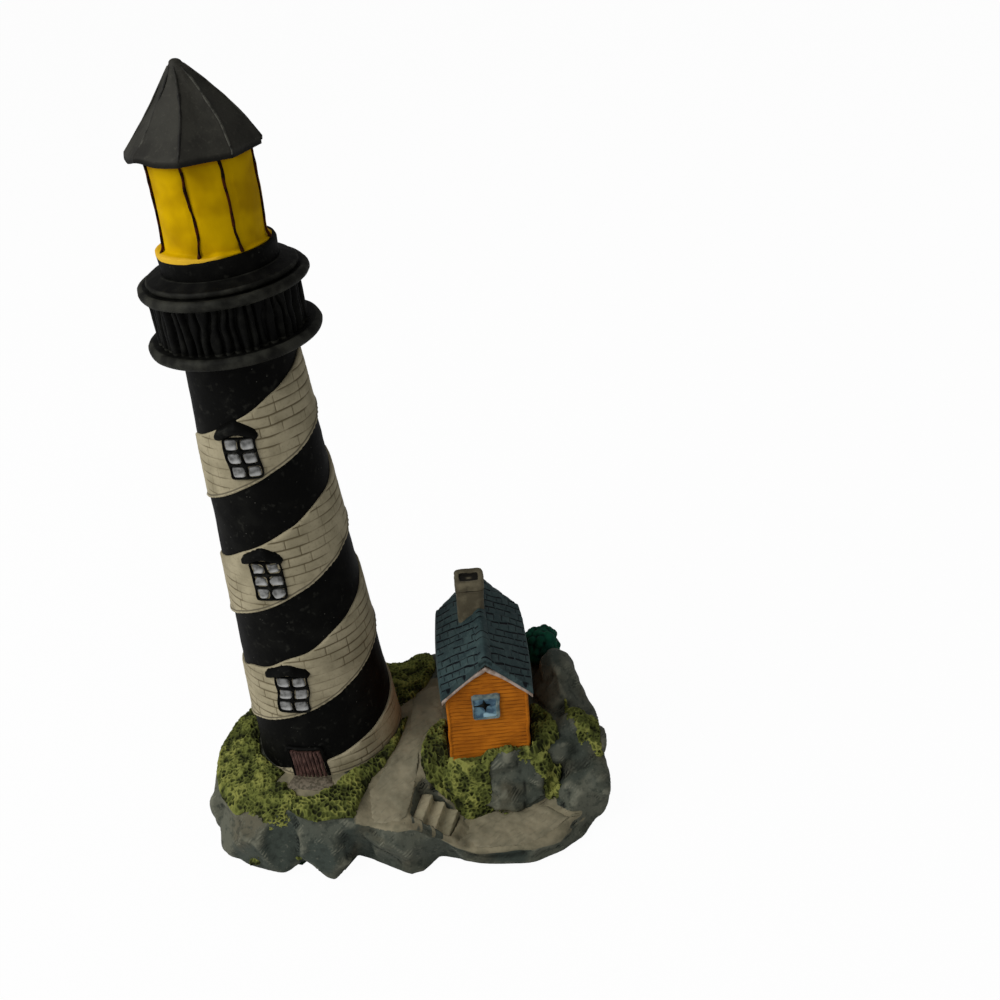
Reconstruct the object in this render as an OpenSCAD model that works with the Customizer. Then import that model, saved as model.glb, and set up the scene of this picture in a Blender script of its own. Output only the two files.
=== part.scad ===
// Lighthouse figurine: a striped tower and a keeper's cottage on a cast rock base.
// Millimetres, +Z up. The origin is on the tower's axis, on the underside of the felt.

/* [Rock base] */
// Width of the rock base, left to right
base_w = 138; // [130:1:150]
// Depth of the rock base, front to back
base_d = 90; // [84:1:100]
// Height of the ground at the tower's foot
ground_h = 27.5; // [25:0.5:32]
// Height of the front terrace
terrace_h = 8; // [6:0.5:10]
// Height of the landing at the head of the steps
landing_h = 20; // [18:0.5:22]
// Thickness of the felt under the base
felt_t = 1; // [0.6:0.1:2]
// Inset of the felt's edge from the rock
felt_inset = 9; // [5:0.5:10]

/* [Paths and steps] */
// Thickness of the paved path and terrace
paving_t = 0.8; // [0.5:0.1:1.5]
// Width of the flight of steps
step_w = 12.5; // [11:0.5:14]
// Depth of one tread
tread = 4; // [3.4:0.1:4.6]
// Number of treads between landing and terrace
tread_count = 3; // [2:1:5]

/* [Planting] */
// Thickness of the moss cushions
moss_t = 1.8; // [1:0.1:3]
// Height of the tufts in the moss
moss_tuft = 0.5; // [0:0.1:0.7]
// Overall width of the bush behind the cottage
bush_w = 15; // [12:0.5:18]
// Width of the boulder behind the cottage
boulder_w = 20; // [16:0.5:24]

/* [Tower] */
// Radius of the shaft at the ground
foot_r = 24; // [22:0.25:26]
// Radius of the shaft under the gallery
neck_r = 16.1; // [14.5:0.1:18]
// Height of the shaft above the ground
shaft_h = 146; // [132:1:158]
// Radius of the spigots that locate the castings
spigot_r = 11; // [8:0.5:12]
// Length of the spigot in the base
spigot_h = 9; // [6:0.5:12]
// Vertical rise of one turn of the spiral stripe
stripe_pitch = 41; // [36:0.5:46]
// Share of each turn that is white
white_share = 0.51; // [0.4:0.01:0.6]
// Height of the white stripe's lower edge at the left side of the foot
stripe_start = 18; // [12:0.2:22]
// Thickness of the white brickwork
brick_t = 0.7; // [0.5:0.1:1]

/* [Tower windows and door] */
// Direction that the windows and the door face
front_dir = -101; // [-110:1:-90]
// Width of a window frame
window_w = 10; // [9:0.1:11]
// Height of a window frame
window_h = 12.4; // [10:0.1:13]
// Width of one frame bar
window_bar = 0.9; // [0.6:0.1:1.1]
// Height of the lowest window's middle above the ground
window_low = 33; // [31:0.5:36]
// Vertical distance from one window to the next
window_step = 41.4; // [38:0.1:44]
// How far the frames stand out of the shaft
frame_proud = 1.5; // [1.2:0.1:2]
// Overhang of a window's hood past each side of the frame
hood_over = 1.8; // [1:0.1:2.4]
// Width of the door
door_w = 10.4; // [9:0.1:12]
// Height of the door above the ground
door_h = 11.2; // [9:0.1:14]
// Number of planks in the door
plank_count = 8; // [5:1:9]

/* [Gallery] */
// Radius of the lower gallery floor
floor_r = 24.8; // [22.5:0.1:26]
// Thickness of the lower gallery floor
floor_t = 3.6; // [3:0.1:5]
// Height of the railing drum
rail_h = 13; // [10:0.1:15]
// Radius of the railing drum over its balusters
rail_r = 21.6; // [20.5:0.1:22]
// Number of balusters
baluster_count = 40; // [32:1:48]
// Radius of the upper deck
deck_r = 23.9; // [22.2:0.1:25]
// Thickness of the upper deck
deck_t = 6; // [4:0.1:7]

/* [Lantern] */
// Radius of the plinth under the lantern
plinth_r = 16.6; // [16:0.1:18]
// Height of the plinth
plinth_h = 5.7; // [5:0.1:8]
// Radius of the lantern over its corners
lantern_r = 15.2; // [14:0.1:15.6]
// Height of the lantern panes
lantern_h = 25.1; // [22:0.1:28]
// Thickness of the glazing bars
bar_t = 1; // [0.8:0.1:1.4]
// Radius of the roof's eaves over its corners
eaves_r = 18.4; // [17.5:0.1:20]
// Height of the roof
roof_h = 23.2; // [20:0.1:27]

/* [Cottage] */
// Width of the cottage walls
cottage_w = 26; // [24:0.2:28]
// Length of the cottage walls
cottage_d = 45; // [40:0.5:48]
// Height of the walls to the eaves
wall_h = 25.5; // [22:0.5:29]
// Height of the gable above the eaves
gable_h = 11.5; // [9:0.5:14]
// Overhang of the roof past the side walls
roof_over = 1.8; // [1.4:0.1:2.6]
// Overhang of the roof past the front and back walls
gable_over = 2; // [1.6:0.1:3]
// Thickness of the shingled roof
roof_t = 2.2; // [1.8:0.1:3]
// Number of shingle courses on each slope
course_count = 8; // [6:1:12]
// Number of siding boards up to the eaves
siding_count = 13; // [9:1:17]
// Width of the cottage's window
cot_window_w = 9.2; // [8:0.1:10.5]
// Height of the cottage's window
cot_window_h = 9.8; // [8:0.1:11]
// Width of the chimney
chimney_w = 8.4; // [7:0.1:10]
// Height of the chimney above the ridge
chimney_h = 13.4; // [10:0.2:16]
// Lean of the cottage to the right, in degrees
cottage_lean = 4; // [2:0.5:5]

/* [Hidden] */

$fn = 64;

// Clearance between castings that are glued together
fit = 0.15;
// Small gap under skins that follow the uneven ground
bed = 0.1;
// Amount by which cuts run past the faces they open
past = 1;

// Heights of the stacked pieces, from the ground up
neck_z = ground_h + shaft_h;
rail_z = neck_z + floor_t;
deck_z = rail_z + rail_h;
plinth_z = deck_z + deck_t;
lantern_z = plinth_z + plinth_h;
eaves_z = lantern_z + lantern_h;
taper = (foot_r - neck_r) / shaft_h;
lean_in = atan(taper);

// Place of the cottage: middle of its front wall
cottage_x = 0.395 * base_w;
cottage_y = -0.264 * base_d;
cottage_z = ground_h + 0.6;
cottage_sink = 3;
cottage_yaw = 1;
pitch = atan(gable_h / (cottage_w / 2));
board_t = 0.7;
cot_left = cottage_x - cottage_w / 2 - board_t;
cot_right = cottage_x + cottage_w / 2 + board_t;
cot_front = cottage_y - board_t;
cot_back = cottage_y + cottage_d + board_t;

// Place of the flight of steps: its head, beside the landing
stair_x = cot_left - 10.8;
stair_y = cot_front - 3.3;
stair_turn = -17;
stair_run = tread * tread_count;
riser = (landing_h - terrace_h) / (tread_count + 1);
step_sink = 3;
stair_foot = terrace_h - step_sink;

// Smaller spigots that locate the lantern between its plinth and its roof
top_spigot_r = spigot_r * 0.8;
top_spigot_h = 2.5;

function clamp01(t) = min(1, max(0, t));
function ease(t) = let(c = clamp01(t)) c * c * (3 - 2 * c);
function mix(a, b, t) = a + (b - a) * t;
function wobble(a, b) = sin(a * 137.5 + b * 71.3) * 0.6 + sin(a * 301.7 - b * 193.1) * 0.4;

// Radius of the shaft at a height above the ground
function shaft_r(z) = foot_r - taper * z;

// Rock outline, as shares of the base's width and depth from the tower's axis
rim_shape = [
  [-0.327, -0.13], [-0.318, -0.26], [-0.243, -0.375], [-0.13, -0.445], [-0.09, -0.385], [-0.008, -0.505],
  [0.042, -0.395], [0.09, -0.425], [0.196, -0.53], [0.246, -0.475], [0.36, -0.54], [0.475, -0.568],
  [0.545, -0.53], [0.6, -0.46], [0.645, -0.36], [0.672, -0.27], [0.655, -0.15], [0.67, -0.02],
  [0.63, 0.16], [0.575, 0.31], [0.47, 0.4], [0.345, 0.425], [0.215, 0.4], [0.1, 0.365],
  [-0.03, 0.34], [-0.16, 0.285], [-0.262, 0.16], [-0.313, 0.01]
];
// Brow of the cliffs, above the same points of the outline: the clefts close on their way up
brow_shape = [
  [-0.304, -0.122], [-0.293, -0.222], [-0.25, -0.361], [-0.155, -0.412], [-0.094, -0.417], [-0.036, -0.468],
  [0.029, -0.463], [0.091, -0.478], [0.165, -0.52], [0.236, -0.515], [0.355, -0.54], [0.467, -0.556],
  [0.529, -0.517], [0.587, -0.439], [0.632, -0.352], [0.66, -0.264], [0.646, -0.15], [0.66, -0.02],
  [0.62, 0.157], [0.566, 0.302], [0.463, 0.391], [0.341, 0.413], [0.213, 0.39], [0.1, 0.355],
  [-0.029, 0.33], [-0.155, 0.278], [-0.254, 0.157], [-0.303, 0.01]
];
base_c = [0.16 * base_w, -0.06 * base_d];

// Height of the cast ground, built from four levels that run into each other
function mound(x, y) = ground_h - 0.02 * pow(max(0, norm([x, y]) - foot_r - 2), 2);
function slope_down(y) = mix(landing_h, ground_h - 1.5, ease((y - stair_y + 15) / 30));
function stair_level(x, y) = mix(slope_down(y), terrace_h, clamp01((x - stair_x) / (stair_run + 1)));
function past_cottage(x, run) = ease((x - cot_right - 1) / run);
function bank_foot(x) = cot_front - mix(5.3, 12.3, past_cottage(x, 10));
function bank_run(x) = mix(12, 4.5, ease((x - cot_left - 6) / 6)) + 16 * past_cottage(x, 8);
function upper_level(x, y) = mix(mound(x, y), cottage_z, ease((x - foot_r + 4) / 15))
  - 4 * ease((x - cot_right - 7) / 14) - 5 * ease((-y - 12) / 20) * past_cottage(x, 8);
function front_level(x, y) = mix(mound(x, y), stair_level(x, y), ease((x - 4) / 14));
function open_ground(x, y) =
  let(t = ease((y - bank_foot(x)) / bank_run(x)), head = ease((y - stair_y + 1) / 20))
  mix(front_level(x, y), upper_level(x, y), x < stair_x ? t * head : t);

// Boulders in the cast ground: middle, half width, half depth and height of each
boulders = [
  [[0.594 * base_w, 0.055 * base_d], boulder_w * 0.4, boulder_w * 0.58, 12],
  [[cot_right + 18, cot_front + 7.7], 7, 9, 6],
  [[cot_left + 18, cot_front - 3.4], 5, 3.2, 4],
  [[cot_left + 25, cot_front - 3.6], 4, 3, 3.4]
];
function dome(x, y, b) =
  let(d = norm([(x - b[0][0]) / b[1], (y - b[0][1]) / b[2]]))
  d < 1 ? b[3] * pow(1 - d * d, 0.4) : 0;

// The ground is level under the tower, which stands on it
function ground(x, y) = mix(ground_h, open_ground(x, y) + max([for (b = boulders) dome(x, y, b)]),
  ease((norm([x, y]) - foot_r - 1.5) / 7));

// Point at share t along a list of points, and round a closed one
function along(pts, t) =
  let(f = t * (len(pts) - 1), i = min(floor(f), len(pts) - 2))
  pts[i] + (pts[i + 1] - pts[i]) * (f - i);
function around(shape, t) = let(p = along(concat(shape, [shape[0]]), t)) [p[0] * base_w, p[1] * base_d];
function rim_point(t, up = 0) = mix(around(rim_shape, t), around(brow_shape, t), ease(up * 1.3));

// Faces of a tube of points, ring by ring, closed by a fan at each end
function tube_faces(rings, n) = concat(
  [for (r = [0 : rings - 2], i = [0 : n - 1])
    let(a = r * n + i, b = r * n + (i + 1) % n) each [[a, a + n, b], [b, a + n, b + n]]],
  [for (i = [0 : n - 1]) [rings * n, i, (i + 1) % n]],
  [for (i = [0 : n - 1]) [rings * n + 1, (rings - 1) * n + (i + 1) % n, (rings - 1) * n + i]]
);

// Closed skin laid on the ground between two rails, even or with tufts
module ground_skin(rail_a, rail_b, thick, n = 16, m = 5, lift = 0, tuft = 0) {
  grid = [for (i = [0 : n], j = [0 : m])
    let(a = along(rail_a, i / n), b = along(rail_b, i / n)) a + (b - a) * (j / m)];
  edge = [for (i = [0 : n], j = [0 : m]) (i == 0 || i == n || j == 0 || j == m) ? 0.45 : 1];
  under = [for (p = grid) [p[0], p[1], ground(p[0], p[1]) + bed + lift]];
  over = [for (k = [0 : len(grid) - 1])
    under[k] + [0, 0, thick * edge[k] + (edge[k] == 1 ? tuft * wobble(k, k / 3) : 0)]];
  c = len(grid);
  w = m + 1;
  polyhedron(concat(under, over), concat(
    [for (i = [0 : n - 1], j = [0 : m - 1])
      let(a = i * w + j) each [[a, a + w, a + 1], [a + 1, a + w, a + w + 1]]],
    [for (i = [0 : n - 1], j = [0 : m - 1])
      let(a = c + i * w + j) each [[a, a + 1, a + w], [a + 1, a + w + 1, a + w]]],
    [for (i = [0 : n - 1]) let(a = i * w) each [[a, a + c, a + w], [a + w, a + c, a + c + w]]],
    [for (i = [0 : n - 1]) let(a = i * w + m) each [[a, a + w, a + c], [a + w, a + c + w, a + c]]],
    [for (j = [0 : m - 1]) each [[j, j + 1, j + c], [j + 1, j + c + 1, j + c]]],
    [for (j = [0 : m - 1]) let(a = n * w + j) each [[a, a + c, a + 1], [a + 1, a + c, a + c + 1]]]
  ), convexity = 6);
}

// Points round the tower's foot, each an angle and a gap, and an even arc of them
function round_foot(spots) = [for (q = spots) (foot_r + q[1]) * [cos(q[0]), sin(q[0])]];
function foot_arc(from, to, gap = 1, n = 8) = round_foot([for (i = [0 : n]) [mix(from, to, i / n), gap]]);

// Points from shares of the base's width and depth, and points set off from one place
function on_base(spots) = [for (q = spots) [q[0] * base_w, q[1] * base_d]];
function beside(place, steps) = [for (q = steps) place + q];
front_corner = [cot_left, cot_front];
right_corner = [cot_right, cot_front];
back_corner = [cot_left, cot_back];

// Points just inside the rock's rim, between two of its corners
function inside_rim(from, to, n) = [for (i = [0 : n])
  base_c + (rim_point(mix(from, to, i / n) / len(rim_shape), 1) - base_c) * 0.95];

// Felt and rock base

module felt_outline() {
  grown = (base_w - 2 * felt_inset) / base_w;
  polygon([for (i = [0 : len(rim_shape) - 1])
    let(p = rim_point(i / len(rim_shape))) base_c + (p - base_c) * grown]);
}

module felt_pad() color("darkolivegreen") linear_extrude(felt_t) felt_outline();

// Rings of the rock from its underside up the cliff, then in over the ground
cliff = [[0.93, 0], [0.98, 0.1], [1, 0.3], [1, 0.52], [0.995, 0.75], [0.98, 0.94]];
inner = [0.965, 0.92, 0.88, 0.83, 0.78, 0.73, 0.68, 0.63, 0.58, 0.52, 0.46, 0.39, 0.31, 0.22, 0.12];
// Columns of points round the rock: a few to each corner of the outline
rock_n = 4 * len(rim_shape);

// Each corner of the outline is pushed in or out on each ring, with flat facets in between
facet_push = 0.022;
function pushed(t, row) = row == 0 ? 0 :
  let(f = t * len(rim_shape), i = floor(f))
  facet_push * mix(wobble(i, row), wobble((i + 1) % len(rim_shape), row), f - i);
function cliff_point(t, row) =
  let(share = cliff[row][0], up = cliff[row][1], p = rim_point(t, up) - base_c,
      q = base_c + p * (share + pushed(t, row)), g = base_c + p * 0.96)
  [q[0], q[1], felt_t + (ground(g[0], g[1]) - felt_t) * up];
function ground_point(t, share) =
  let(p = base_c + (rim_point(t, 1) - base_c) * share) [p[0], p[1], ground(p[0], p[1])];

module rock_body() {
  pts = concat(
    [for (row = [0 : len(cliff) - 1], k = [0 : rock_n - 1]) cliff_point(k / rock_n, row)],
    [for (s = inner, k = [0 : rock_n - 1]) ground_point(k / rock_n, s)],
    [[base_c[0], base_c[1], felt_t], [base_c[0], base_c[1], ground(base_c[0], base_c[1])]]
  );
  polyhedron(pts, tube_faces(len(cliff) + len(inner), rock_n), convexity = 8);
}

module at_stairs() translate([stair_x, stair_y, 0]) rotate([0, 0, stair_turn]) children();
module at_cottage() translate([cottage_x, cottage_y, cottage_z])
  rotate([0, cottage_lean, cottage_yaw]) children();

module rock_base() color("dimgray") difference() {
  rock_body();
  translate([0, 0, ground_h - spigot_h - fit]) cylinder(r = spigot_r + fit, h = spigot_h + past);
  at_cottage() translate([-cottage_w / 2 - fit, -fit, -cottage_sink])
    cube([cottage_w + 2 * fit, cottage_d + 2 * fit, cottage_sink + 20]);
  at_stairs() translate([0, -step_w, stair_foot]) cube([tread * tread_count + fit, step_w, 30]);
}

// Paving

path_left = round_foot([
  [24, 8], [4, 4.2], [-10, 3.6], [-19, 3.4], [-34.5, 4.4],
  [-50, 5.9], [-60, 7], [-66, 9], [-68.5, 13], [-71, 19.8]
]);
path_right = concat(
  beside(front_corner, [[-1.2, 37.5], [-1.2, 26], [-1.9, 18], [-5.6, 15.7],
    [-8, 12.3], [-9.8, 6.5], [-10.7, 0.9]]),
  beside([stair_x, stair_y], [[-1, -0.8], [-2.8, -7], [-5.1, -16]])
);
module footpath() color("darkkhaki") ground_skin(path_left, path_right, paving_t, 24, 5);

terrace_back = concat(
  beside(front_corner, [[5.4, -7.3], [13.9, -6.8], [22.9, -6.8], [29.9, -7.3]]),
  on_base([[0.555, -0.42], [0.595, -0.425]])
);
module terrace() color("tan") ground_skin(terrace_back, inside_rim(9.5, 13.2, 5), paving_t, 18, 5);

module steps() color("darkkhaki") at_stairs() translate([0, 0, stair_foot])
  for (i = [0 : tread_count - 1]) let(gap = i == 0 ? fit : 0)
    translate([tread * i + gap, -step_w + fit, 0])
      cube([tread - gap, step_w - 2 * fit, landing_h - riser * (i + 1) - stair_foot + paving_t]);

module doorstep() color("rosybrown") {
  half = 15;
  inside = foot_arc(front_dir - half, front_dir + half, 1.2, 6);
  outside = foot_arc(front_dir - half * 0.9, front_dir + half * 1.1, 7, 6);
  ground_skin(inside, outside, paving_t * 1.4, 8, 3);
}

// Planting

module moss_left() color("olivedrab") ground_skin(
  foot_arc(-124, -260, 1, 8),
  on_base([[-0.17, -0.35], [-0.222, -0.35], [-0.265, -0.25], [-0.284, -0.14], [-0.284, 0],
    [-0.238, 0.14], [-0.18, 0.23], [-0.109, 0.287], [-0.043, 0.313]]),
  moss_t, 36, 12, 0, moss_tuft);
module moss_front() color("olivedrab") ground_skin(
  round_foot([[-129, 9.7], [-115, 10.7], [-97, 9.7], [-84, 6], [-76, 3], [-70, 1.6],
    [-64, 1.2], [-52, 1.1], [-42, 1.1], [-30, 1.1], [-16, 1.1], [-2, 1.1]]),
  round_foot([[-121.5, 12.5], [-112, 13], [-103, 15.5], [-95, 17], [-86, 16.8], [-77, 17.4],
    [-72.5, 12], [-61, 6.3], [-50, 5.4], [-34.5, 3.9], [-19, 2.9], [-2, 3.3]]),
  moss_t, 36, 7, 0, moss_tuft);
module moss_back() color("olivedrab") ground_skin(
  foot_arc(92, 12, 1, 7),
  on_base([[-0.007, 0.322], [0.065, 0.339], [0.145, 0.372], [0.217, 0.389],
    [0.261, 0.356], [0.272, 0.267], [0.246, 0.161], [0.212, 0.1]]),
  moss_t, 26, 10, 0, moss_tuft);
module moss_cottage() color("olivedrab") ground_skin(
  beside(front_corner, [[-0.4, 17.5], [-0.4, 13.7], [-0.4, 9.7], [-0.4, 5.7], [-0.4, 1.7],
    [0, -0.6], [4.6, -0.8], [8.6, -0.8], [11.6, -0.8]]),
  beside(front_corner, [[-1.2, 18.2], [-4.9, 15.7], [-7.2, 12.2], [-8.9, 6.7], [-9.9, 1.2],
    [-8.4, -2.6], [-2, -4.9], [4.2, -5.7], [10.8, -4.6]]),
  moss_t, 26, 7, 0.3, moss_tuft);
module moss_right() color("olivedrab") ground_skin(
  beside(right_corner, [[1.1, 20.7], [0.9, 14.7], [0.7, 8.7], [0.5, 3.7], [0.3, -0.6], [-1.6, -2.2]]),
  beside(right_corner, [[4.1, 19.2], [7.1, 14.7], [9.4, 8.7], [9.8, 2.2], [8, -3.2], [2.4, -5]]),
  moss_t, 18, 5, 0.3, moss_tuft);
module moss_rear() color("olivedrab") ground_skin(
  beside(back_corner, [[-0.5, -12], [-0.5, -1], [6, 1.9], [20, 1.7], [28.9, 1.3], [30.9, -4]]),
  beside(back_corner, [[-1.5, 1.3], [-1.1, 9.3], [6, 13.3], [20, 13.3], [28.9, 9.3], [32.9, -2.7]]),
  moss_t, 20, 6, 0, moss_tuft);

bush_at = [0.55 * base_w, 0.235 * base_d];
tuft_count = 9;
module bush() color("darkgreen")
  translate([bush_at[0], bush_at[1], ground(bush_at[0], bush_at[1]) + bed]) difference() {
    union() for (i = [0 : tuft_count - 1]) let(a = i * 137.5, q = i / tuft_count)
      let(up = 0.55 - 0.25 * q + 0.21 * wobble(i, 2))
        translate(bush_w * [0.27 * sqrt(q) * cos(a), 0.3 * sqrt(q) * sin(a), up])
          sphere(r = bush_w * 0.24, $fn = 20);
    translate([-bush_w, -bush_w, -bush_w]) cube([bush_w * 2, bush_w * 2, bush_w]);
  }

// Tower

module at_ground() translate([0, 0, ground_h]) children();

// Frame of a piece on the shaft's face, x to the right, z up the wall and -y outwards
module on_face(z) at_ground() rotate([0, 0, front_dir + 90]) translate([0, -shaft_r(z), z])
  rotate([-lean_in, 0, 0]) children();

module window_rows() for (i = [0 : 2]) on_face(window_low + window_step * i) children();

// Pocket that a window or the door is set into, the door frame's bar and the hoods' height
pocket = 1.4;
frame_b = 0.9;
hood_h = 3;
// Opening for one pane of a tower window
light_w = (window_w - 3 * window_bar) / 2;
light_h = (window_h - 4 * window_bar) / 3;
module window_pocket() translate([-window_w / 2 - fit, -past * 4, -window_h / 2 - fit])
  cube([window_w + 2 * fit, pocket + past * 4, window_h + 2 * fit]);
module hood_pocket() translate([-window_w / 2 - hood_over - fit, -past * 4, window_h / 2])
  cube([window_w + 2 * hood_over + 2 * fit, pocket + past * 4, hood_h + fit]);
module door_pocket() translate([-door_w / 2 - frame_b - fit, -past * 4, -past])
  cube([door_w + 2 * (frame_b + fit), pocket + past * 4, door_h + frame_b + past + fit]);

module face_pockets() {
  window_rows() {
    window_pocket();
    hood_pocket();
  }
  on_face(0) door_pocket();
}

module tower_shaft() color([0.06, 0.06, 0.06]) difference() {
  union() {
    at_ground() cylinder(r1 = foot_r, r2 = neck_r, h = shaft_h, $fn = 96);
    translate([0, 0, ground_h - spigot_h]) cylinder(r = spigot_r, h = spigot_h + past);
    translate([0, 0, neck_z - past])
      cylinder(r = spigot_r, h = past + floor_t + rail_h + deck_t + plinth_h / 2);
  }
  face_pockets();
}

// White stripe: one ribbon of brickwork wound up the shaft, a little steeper on its right side
left_side = -156;
function stripe_z(a) = stripe_start + stripe_pitch * (a - left_side) / 360
  + (2.6 - a / 500) * (sin(a + 73) + 1) * clamp01((a + 200) / 200);
stripe_run_on = 60;
stripe_tall = stripe_pitch * white_share;
stripe_from = left_side - 360 * (stripe_start + stripe_tall) / stripe_pitch - stripe_run_on;
stripe_to = left_side + 360 * (shaft_h - stripe_start) / stripe_pitch + stripe_run_on;
// Black band left above the stripe, and the widest turn that one facet of it spans
top_band = 4;
stripe_facet = 12;

module stripe_ribbon() {
  n = ceil((stripe_to - stripe_from) / stripe_facet);
  sections = [for (i = [0 : n])
    let(a = mix(stripe_from, stripe_to, i / n), low = stripe_z(a),
    high = low + stripe_tall)
    each [for (q = [[low, bed], [low, bed + brick_t], [high, bed + brick_t], [high, bed]])
      let(r = shaft_r(q[0]) + q[1]) [r * cos(a), r * sin(a), q[0]]]];
  polyhedron(sections, concat(
    [for (i = [0 : n - 1], k = [0 : 3])
      let(a = 4 * i + k, b = 4 * i + (k + 1) % 4) each [[a, b, a + 4], [b, b + 4, a + 4]]],
    [[0, 2, 1], [0, 3, 2], [4 * n, 4 * n + 1, 4 * n + 2], [4 * n, 4 * n + 2, 4 * n + 3]]
  ), convexity = 20);
}

module white_stripe() color([0.85, 0.8, 0.68]) difference() {
  at_ground() intersection() {
    stripe_ribbon();
    translate([0, 0, fit]) cylinder(r = foot_r + 5, h = shaft_h - top_band - 2 * fit);
  }
  face_pockets();
}

module window_frames() color([0.06, 0.06, 0.06]) window_rows() {
  translate([0, pocket, 0]) rotate([90, 0, 0]) linear_extrude(pocket + frame_proud) difference() {
    square([window_w, window_h], center = true);
    for (i = [-0.5, 0.5], j = [-1 : 1])
      translate([i * (light_w + window_bar), j * (light_h + window_bar)])
        square([light_w, light_h], center = true);
  }
}

module window_panes() color("silver") window_rows() {
  for (i = [-0.5, 0.5], j = [-1 : 1])
    translate([i * (light_w + window_bar), pocket, j * (light_h + window_bar)]) rotate([90, 0, 0])
      linear_extrude(pocket + frame_proud * 0.75)
        square([light_w - 2 * fit, light_h - 2 * fit], center = true);
}

module hood_outline() {
  half = window_w / 2 + hood_over;
  dip = 1;
  polygon(concat(
    [for (i = [0 : 8]) let(t = i / 4 - 1)
      [half * t, mix(-dip, hood_h - 0.4, cos(90 * t)) + (abs(t) > 0.9 ? 0.4 : 0)]],
    [for (i = [8 : -1 : 0]) let(t = i / 4 - 1) [half * t * 0.94, mix(-dip, 0, cos(90 * t)) + fit]]
  ));
}

module window_hoods() color([0.06, 0.06, 0.06]) window_rows()
  intersection() {
    translate([0, pocket, window_h / 2]) rotate([90, 0, 0])
      linear_extrude(pocket + frame_proud + 1) hood_outline();
    translate([-window_w, -window_w, window_h / 2 + fit]) cube([2 * window_w, 2 * window_w, hood_h]);
  }

module door_planks() color("saddlebrown") on_face(0) for (i = [0 : plank_count - 1]) {
  w = (door_w - 2 * fit) / plank_count;
  proud = 0.6 - 0.1 * wobble(i, 1);
  translate([-door_w / 2 + fit + w * i + bed / 2, -proud, fit])
    cube([w - bed, pocket + proud - bed, door_h - 2 * fit]);
}

module door_frame() color([0.2, 0.12, 0.1]) on_face(0) translate([0, pocket, 0]) rotate([90, 0, 0])
  linear_extrude(pocket + frame_b) difference() {
    translate([-door_w / 2 - frame_b, fit]) square([door_w + 2 * frame_b, door_h + frame_b - fit]);
    translate([-door_w / 2, -past]) square([door_w, door_h + past]);
  }

// Gallery

module spigot_bore(h) translate([0, 0, -past]) cylinder(r = spigot_r + fit, h = h + 2 * past);

module gallery_floor() color([0.1, 0.1, 0.1]) translate([0, 0, neck_z]) difference() {
  rotate_extrude($fn = 96) polygon(concat(
    [[0, 0], [neck_r + 1.4, 0], [neck_r + 2.2, 0.3], [floor_r - 1.2, 0.6]],
    [for (a = [-60 : 20 : 80])
      [floor_r, 0] + floor_t * [0.36 * (cos(a) - 1), 0.55 + 0.4 * sin(a)]],
    [[floor_r - 2.2, floor_t], [0, floor_t]]
  ));
  spigot_bore(floor_t);
}

// Height of a baluster's bulge out of the drum, and the share of the spacing that it takes
baluster_bulge = 1.1;
baluster_share = 0.62;
function baluster_r(a) =
  let(cell = 360 / baluster_count, t = (a % cell) / cell / baluster_share)
  rail_r - baluster_bulge * (t < 1 ? 1 - sqrt(sin(180 * t)) : 1);
module gallery_railing() color([0.05, 0.05, 0.05]) translate([0, 0, rail_z]) difference() {
  linear_extrude(rail_h) polygon([
    for (i = [0 : baluster_count - 1], t = [0, 0.06, 0.2, 0.5, 0.8, 0.94, 1])
      let(a = (i + t * baluster_share) * 360 / baluster_count) baluster_r(a) * [cos(a), sin(a)]
  ]);
  spigot_bore(rail_h);
}

module upper_deck() color([0.1, 0.1, 0.1]) translate([0, 0, deck_z]) difference() {
  rotate_extrude($fn = 96) polygon(concat(
    [[0, 0], [rail_r + 0.2, 0]],
    [for (a = [-60 : 20 : 100])
      [deck_r, 0] + deck_t * [0.2 * (cos(a) - 1), 0.33 + 0.28 * sin(a)]],
    [[deck_r - 2, deck_t * 0.58], [plinth_r + 0.3, deck_t], [0, deck_t]]
  ));
  spigot_bore(deck_t);
}

// Lantern

// Depth of the socket that the lantern stands in
socket_t = 1.4;
module lantern_plinth() color([0.05, 0.05, 0.05]) translate([0, 0, plinth_z]) difference() {
  cylinder(r1 = plinth_r - 0.3, r2 = plinth_r, h = plinth_h, $fn = 96);
  translate([0, 0, -past]) cylinder(r = spigot_r + fit, h = past + plinth_h / 2 + fit);
  translate([0, 0, plinth_h - socket_t]) cylinder(r = top_spigot_r + fit, h = socket_t + past);
}

// A corner of the lantern faces a little to the right of the windows
corner_off = 3;
lantern_turn = front_dir + corner_off;
module eight_sides(r, h) rotate([0, 0, lantern_turn]) cylinder(r = r, h = h, $fn = 8);
// The roof sits slightly askew on the lantern
roof_turn = lantern_turn + 5;

module lantern_panes() color("gold") translate([0, 0, lantern_z]) {
  eight_sides(lantern_r - bar_t, lantern_h);
  translate([0, 0, -socket_t + fit]) cylinder(r = top_spigot_r, h = socket_t + past);
  translate([0, 0, lantern_h - past]) cylinder(r = top_spigot_r, h = past + top_spigot_h);
}

module glazing_bars() color([0.05, 0.05, 0.05]) translate([0, 0, lantern_z]) difference() {
  union() for (i = [0 : 7]) rotate([0, 0, lantern_turn + 45 * i])
    translate([lantern_r - bar_t, 0, fit]) cylinder(r = bar_t * 0.8, h = lantern_h - 2 * fit, $fn = 16);
  translate([0, 0, -past]) eight_sides(lantern_r - bar_t + fit, lantern_h + 2 * past);
}

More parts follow.
